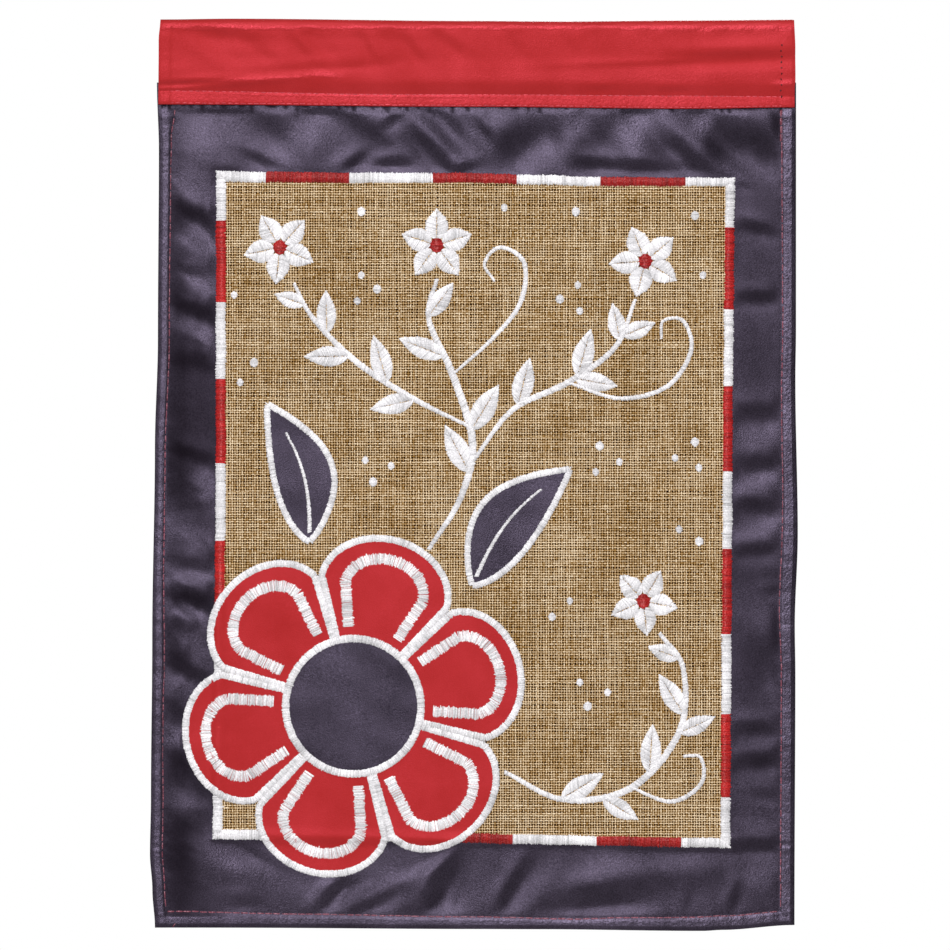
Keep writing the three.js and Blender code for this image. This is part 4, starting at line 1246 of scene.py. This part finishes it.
# Columns: stem, share of its length, side, length, half width
SPRIG_LEAVES = [
    ("main", 0.30, 1, 27, 5.8), ("main", 0.45, -1, 27, 5.8), ("main", 0.72, 1, 25, 5.4),
    ("main", 0.87, -1, 21, 4.9),
    ("right", 0.30, 1, 25, 5.4), ("right", 0.58, 1, 25, 5.4), ("right", 0.57, -1, 22, 5.0),
    ("right", 0.82, 1, 19, 4.6), ("right", 0.84, -1, 18, 4.5),
    ("left", 0.26, 1, 23, 5.2), ("left", 0.40, -1, 25, 5.4), ("left", 0.60, 1, 23, 5.2),
    ("left", 0.74, -1, 22, 5.0), ("left", 0.90, 1, 16, 4.2),
    ("low", 0.20, 1, 25, 5.4), ("low", 0.33, -1, 21, 4.8), ("low", 0.50, 1, 25, 5.4),
    ("low", 0.66, -1, 20, 4.6), ("low", 0.72, 1, 24, 5.2), ("low", 0.90, 1, 17, 4.4),
]
# Columns: x, z, petal length, turn in degrees
BLOSSOMS = [(-20, -113, 18, 90), (85, -121, 18, 40), (-99, -114, 18, 120), (84, -292, 17, 60)]
LEAF_ANGLE = 42


# %% Leaf, dot and stem helpers
def on_burlap(x, z):
    """Height of the burlap's face."""
    return np.full(np.shape(x), BURLAP_MIDDLE + 0.18)


def sprig_leaf(x, z, angle, length, half_width, seed):
    """Two rows of stitches from the middle line to the two edges, slanted towards the tip."""
    row = ("", x, z, angle, length, 0, half_width)
    share = np.arange(0.02, 0.99, THREAD_PITCH / length)
    rows = []
    for side in (-1, 1):
        a = np.stack(leaf_line(share, side * 0.02, row), -1)
        b = np.stack(leaf_line(np.clip(share + 0.1, 0, 0.995), side, row), -1)
        rows.append(stitches(a, b, THREAD_WIDTH, 0.55, on_burlap, seed + side, 0.15))
    return rows


def spot_on(stem, share):
    """Position and heading in degrees on a stem at a share of its length."""
    points = smooth_path(STEMS[stem][0], 120)
    at, spot, unit = walk(points, 0.5)
    k = int(share * (len(at) - 1))
    return spot[k], math.degrees(math.atan2(unit[k, 1], unit[k, 0]))


def dot(x, z, radius, layer, seed, lift=0.6):
    """A filled spot: level stitches, each as long as the circle is wide there."""
    level = np.arange(-radius + 0.15, radius, THREAD_PITCH)
    half = np.sqrt(np.clip(radius**2 - level**2, 0.05, None))
    a = np.stack([x - half, z + level], -1)
    b = np.stack([x + half, z + level], -1)
    return stitches(a, b, THREAD_WIDTH, lift, layer, seed, 0.1)


def stem_width(thin, thick):
    """A width that goes from thin at both ends of a stem to thick at its middle, as a sine."""
    return lambda share: thin + (thick - thin) * np.sin(math.pi * share)


# %% Sprigs
sprigs = []
for n, (name, (points, thin, thick)) in enumerate(STEMS.items()):
    width = stem_width(thin, thick)
    sprigs.append(rope(smooth_path(points, 120), width, 0.5, on_burlap, 200 + n, slant=18))
for n, (stem, share, side, length, half_width) in enumerate(SPRIG_LEAVES):
    spot, heading = spot_on(stem, share)
    sprigs += sprig_leaf(spot[0], spot[1], heading + side * LEAF_ANGLE, length, half_width, 220 + 3 * n)
for n, (x0, z0, size, turn) in enumerate(BLOSSOMS):
    for k in range(5):
        angle = turn + 72 * k
        x, z = turned(2.5, 0, angle, (x0, z0))
        sprigs += sprig_leaf(x, z, angle, size - 2, size * 0.33, 300 + 20 * n + 3 * k)

# %% Dots
# Columns: x, z, radius
DOTS = [
    (-50, -135, 2.2), (-58, -128, 1.8), (-60, -141, 1.8), (42, -140, 2.2), (51, -133, 1.8), (52, -146, 1.8),
    (110, -212, 2.2), (100, -220, 1.8), (112, -225, 1.8), (-112, -172, 2.2), (-119, -182, 1.8), (62, -214, 2.2),
    (72, -222, 1.8), (60, -227, 1.8), (56, -345, 2.2), (66, -338, 1.8), (52, -333, 1.8), (112, -262, 2.2),
    (102, -256, 1.8), (38, -300, 2.0), (47, -292, 1.7), (-52, -232, 2.2), (-43, -224, 1.8), (-56, -221, 1.8),
    (110, -98, 2.2), (50, -96, 2.2), (-58, -96, 2.2), (-122, -138, 1.8), (114, -128, 1.8), (14, -94, 1.8)]
for n, (x0, z0, radius) in enumerate(DOTS):
    sprigs.append(dot(x0, z0, radius, on_burlap, 400 + n))
sprig_piece = stitch_mesh("sprigs", sprigs, WHITE_THREAD)


# %% Blossom centres
def on_blossom(x, z):
    """Height of a blossom's stitches, on which its middle is sewn."""
    return on_burlap(x, z) + 0.3


hearts = [dot(row[0], row[1], 3.6, on_blossom, 450 + n) for n, row in enumerate(BLOSSOMS)]
blossom_centres = stitch_mesh("blossom_centres", hearts, RED_THREAD)

# %% [markdown]
# ## The back of the flag
# A stitch goes through the cloth, so the whole design shows on the back as well. There the bobbin's thread
# lies flat and is drawn in from both sides, so these stitches are plain narrow strips, a little shorter than
# those at the front. They follow the hems' thickness.

# %% Bobbin side
def on_back(x, z):
    """Depth of the back face behind the middle surface, hems included."""
    right = x / FLAG_WIDTH + 0.5
    low = (FIELD_TOP - z) / (FIELD_TOP + FLAG_HEIGHT)
    column = x - (1 - right) * read(FIELD_LEFT, z) - right * read(FIELD_RIGHT, z)
    return hem_profile(column, z - low * read(FIELD_FOOT, x))[1]


def bobbin(name, batches, material, seed, lift, share=0.8):
    """Strips between two points of each stitch, drawn in towards its middle by a share of its length."""
    start, end, width = (np.concatenate([batch[k] for batch in batches]) for k in (0, 1, 2))
    middle, half = (start + end) / 2, (end - start) / 2 * share
    unit = half / np.maximum(np.linalg.norm(half, axis=1, keepdims=True), 1e-6)
    beside = np.stack([unit[:, 1], -unit[:, 0]], -1) * width[:, None] / 2
    low, high = middle - half, middle + half
    spot = np.stack([low - beside, low + beside, high + beside, high - beside], 1)
    proud = lift + 0.05 * np.random.default_rng(seed).random((len(start), 1))
    depth = on_back(spot[..., 0], spot[..., 1]) + proud - cloth(spot[..., 0], spot[..., 1])
    points = np.stack([spot[..., 0], depth, spot[..., 1]], -1).reshape(-1, 3)
    tone = np.repeat(0.93 + 0.08 * np.random.default_rng(seed + 1).normal(0, 1, len(start)), 4)
    return make_piece(name, points, np.arange(len(points)).reshape(-1, 4), material, tone=tone)


white_batches = [*border["white"], *outlines, *bands, *sprigs]
back_white = bobbin("back_white", white_batches, WHITE_THREAD, 500, 0.15)
back_red = bobbin("back_red", [*border["red"], *hearts], RED_THREAD, 510, 0.08)
back_seams = bobbin("back_seams", hem_seams, TOPSTITCH_THREAD, 520, 0.06, 1.1)

# %% [markdown]
# ## Floor, light and camera
# A plain pale floor lies below the flag, out of the main picture. A tall soft box stands in front, up and a
# little to the left. Satin mirrors it softly, so a pucker that leans down loses it and turns dark, and level
# cloth keeps one pale tone. A small light from above and one behind fill the rest. The world is white only to
# the camera, so that the satin's dark sides stay dark.

# %% Floor
FLOOR_Z = -1000.0
ring_count = 65
angles, reach = np.meshgrid(np.linspace(0, 2 * math.pi, ring_count), np.array([2200.0, 0.5]), indexing="ij")
floor_points = np.stack([reach * np.cos(angles), reach * np.sin(angles), np.full(reach.shape, FLOOR_Z)], -1)
floor_material, _, floor_shader = new_material("pale_floor", Roughness=0.7)
floor_shader.inputs["Base Color"].default_value = (0.82, 0.82, 0.81, 1)
floor = make_piece("floor", floor_points.reshape(-1, 3), grid_quads(ring_count, 2), floor_material)
floor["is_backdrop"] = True


# %% Light
def soft_light(name, place, aim, size, power):
    """A rectangular area light of a width and a height at a place, turned to face a point, all in metres."""
    lamp = bpy.data.lights.new(name, "AREA")
    lamp.shape = "RECTANGLE"
    lamp.size, lamp.size_y = size
    lamp.energy = power
    holder = bpy.data.objects.new(name, lamp)
    bpy.context.scene.collection.objects.link(holder)
    direction = np.array(aim) - np.array(place)
    holder.location = place
    holder.rotation_euler = (math.acos(-direction[2] / np.linalg.norm(direction)), 0,
                             math.atan2(direction[1], direction[0]) - math.pi / 2)


AIM = (0, 0, -0.23)
# Columns: name, place, width and height, power
LIGHTS = [
    ("key_light", (-0.7, -4.9, 1.85), (2.4, 4.0), 235),
    ("top_light", (0.2, -1.1, 1.9), (1.4, 1.0), 22),
    ("back_light", (0.6, 1.6, 0.5), (1.2, 1.2), 22),
]
for label, place, sides, power in LIGHTS:
    soft_light(label, place, AIM, sides, power)
print(len(LIGHTS), "lights")

# %% World
world = bpy.data.worlds.new("studio")
world.use_nodes = True
bpy.context.scene.world = world
tree = world.node_tree
seen = add_node(tree, "ShaderNodeLightPath").outputs["Is Camera Ray"]
strength = add_node(tree, "ShaderNodeMapRange", {"Value": seen, "To Min": 0.1, "To Max": 1.0})
tree.nodes["Background"].inputs["Color"].default_value = (1, 1, 1, 1)
tree.links.new(strength.outputs[0], tree.nodes["Background"].inputs["Strength"])

# %% Camera
FRAME_WIDTH = 478.3
FRAME_CENTRE = (-0.75, -228.6)
LENS = 300
lens_data = bpy.data.cameras.new("camera")
lens_data.lens = LENS
lens_data.sensor_width = 36
distance = FRAME_WIDTH / 2 / (lens_data.sensor_width / 2 / LENS)
camera = bpy.data.objects.new("camera", lens_data)
camera.location = (FRAME_CENTRE[0] * MM, -distance * MM, FRAME_CENTRE[1] * MM)
camera.rotation_euler = (math.pi / 2, 0, 0)
bpy.context.scene.collection.objects.link(camera)
bpy.context.scene.camera = camera
bpy.context.scene.view_settings.view_transform = "Standard"
print("camera stands", round(distance), "mm in front of the flag")

# %% [markdown]
# ## Pieces on the flag's body
# Every piece rides on the flag's one body, and the imported solids of the cloth pieces are hidden.

# %% Frame calls
SLOTS = {
    "navy_satin": [ground], "red_satin": [sleeve], "burlap": [warp, weft],
    "red_applique": petals, "navy_applique": [centre, *leaf_cloths],
    "white_thread": [border_white, outline_piece, band_piece, sprig_piece, back_white],
    "red_thread": [border_red, blossom_centres, back_red],
    "topstitch_thread": [hem_thread, sleeve_thread, back_seams],
}
for slot_name, pieces in SLOTS.items():
    for piece in pieces:
        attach(piece, "root")

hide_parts("field")
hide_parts("sleeve")
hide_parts("burlap_panel")
for n, piece in enumerate(petals, 1):
    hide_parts(f"petal_{n}")
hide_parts("flower_centre")
for row, piece in zip(LEAVES, leaf_cloths):
    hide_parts(row[0])

# %% Finish
size = {"cad": [list(corner) for corner in cad_box], "visual": [list(corner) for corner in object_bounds()]}
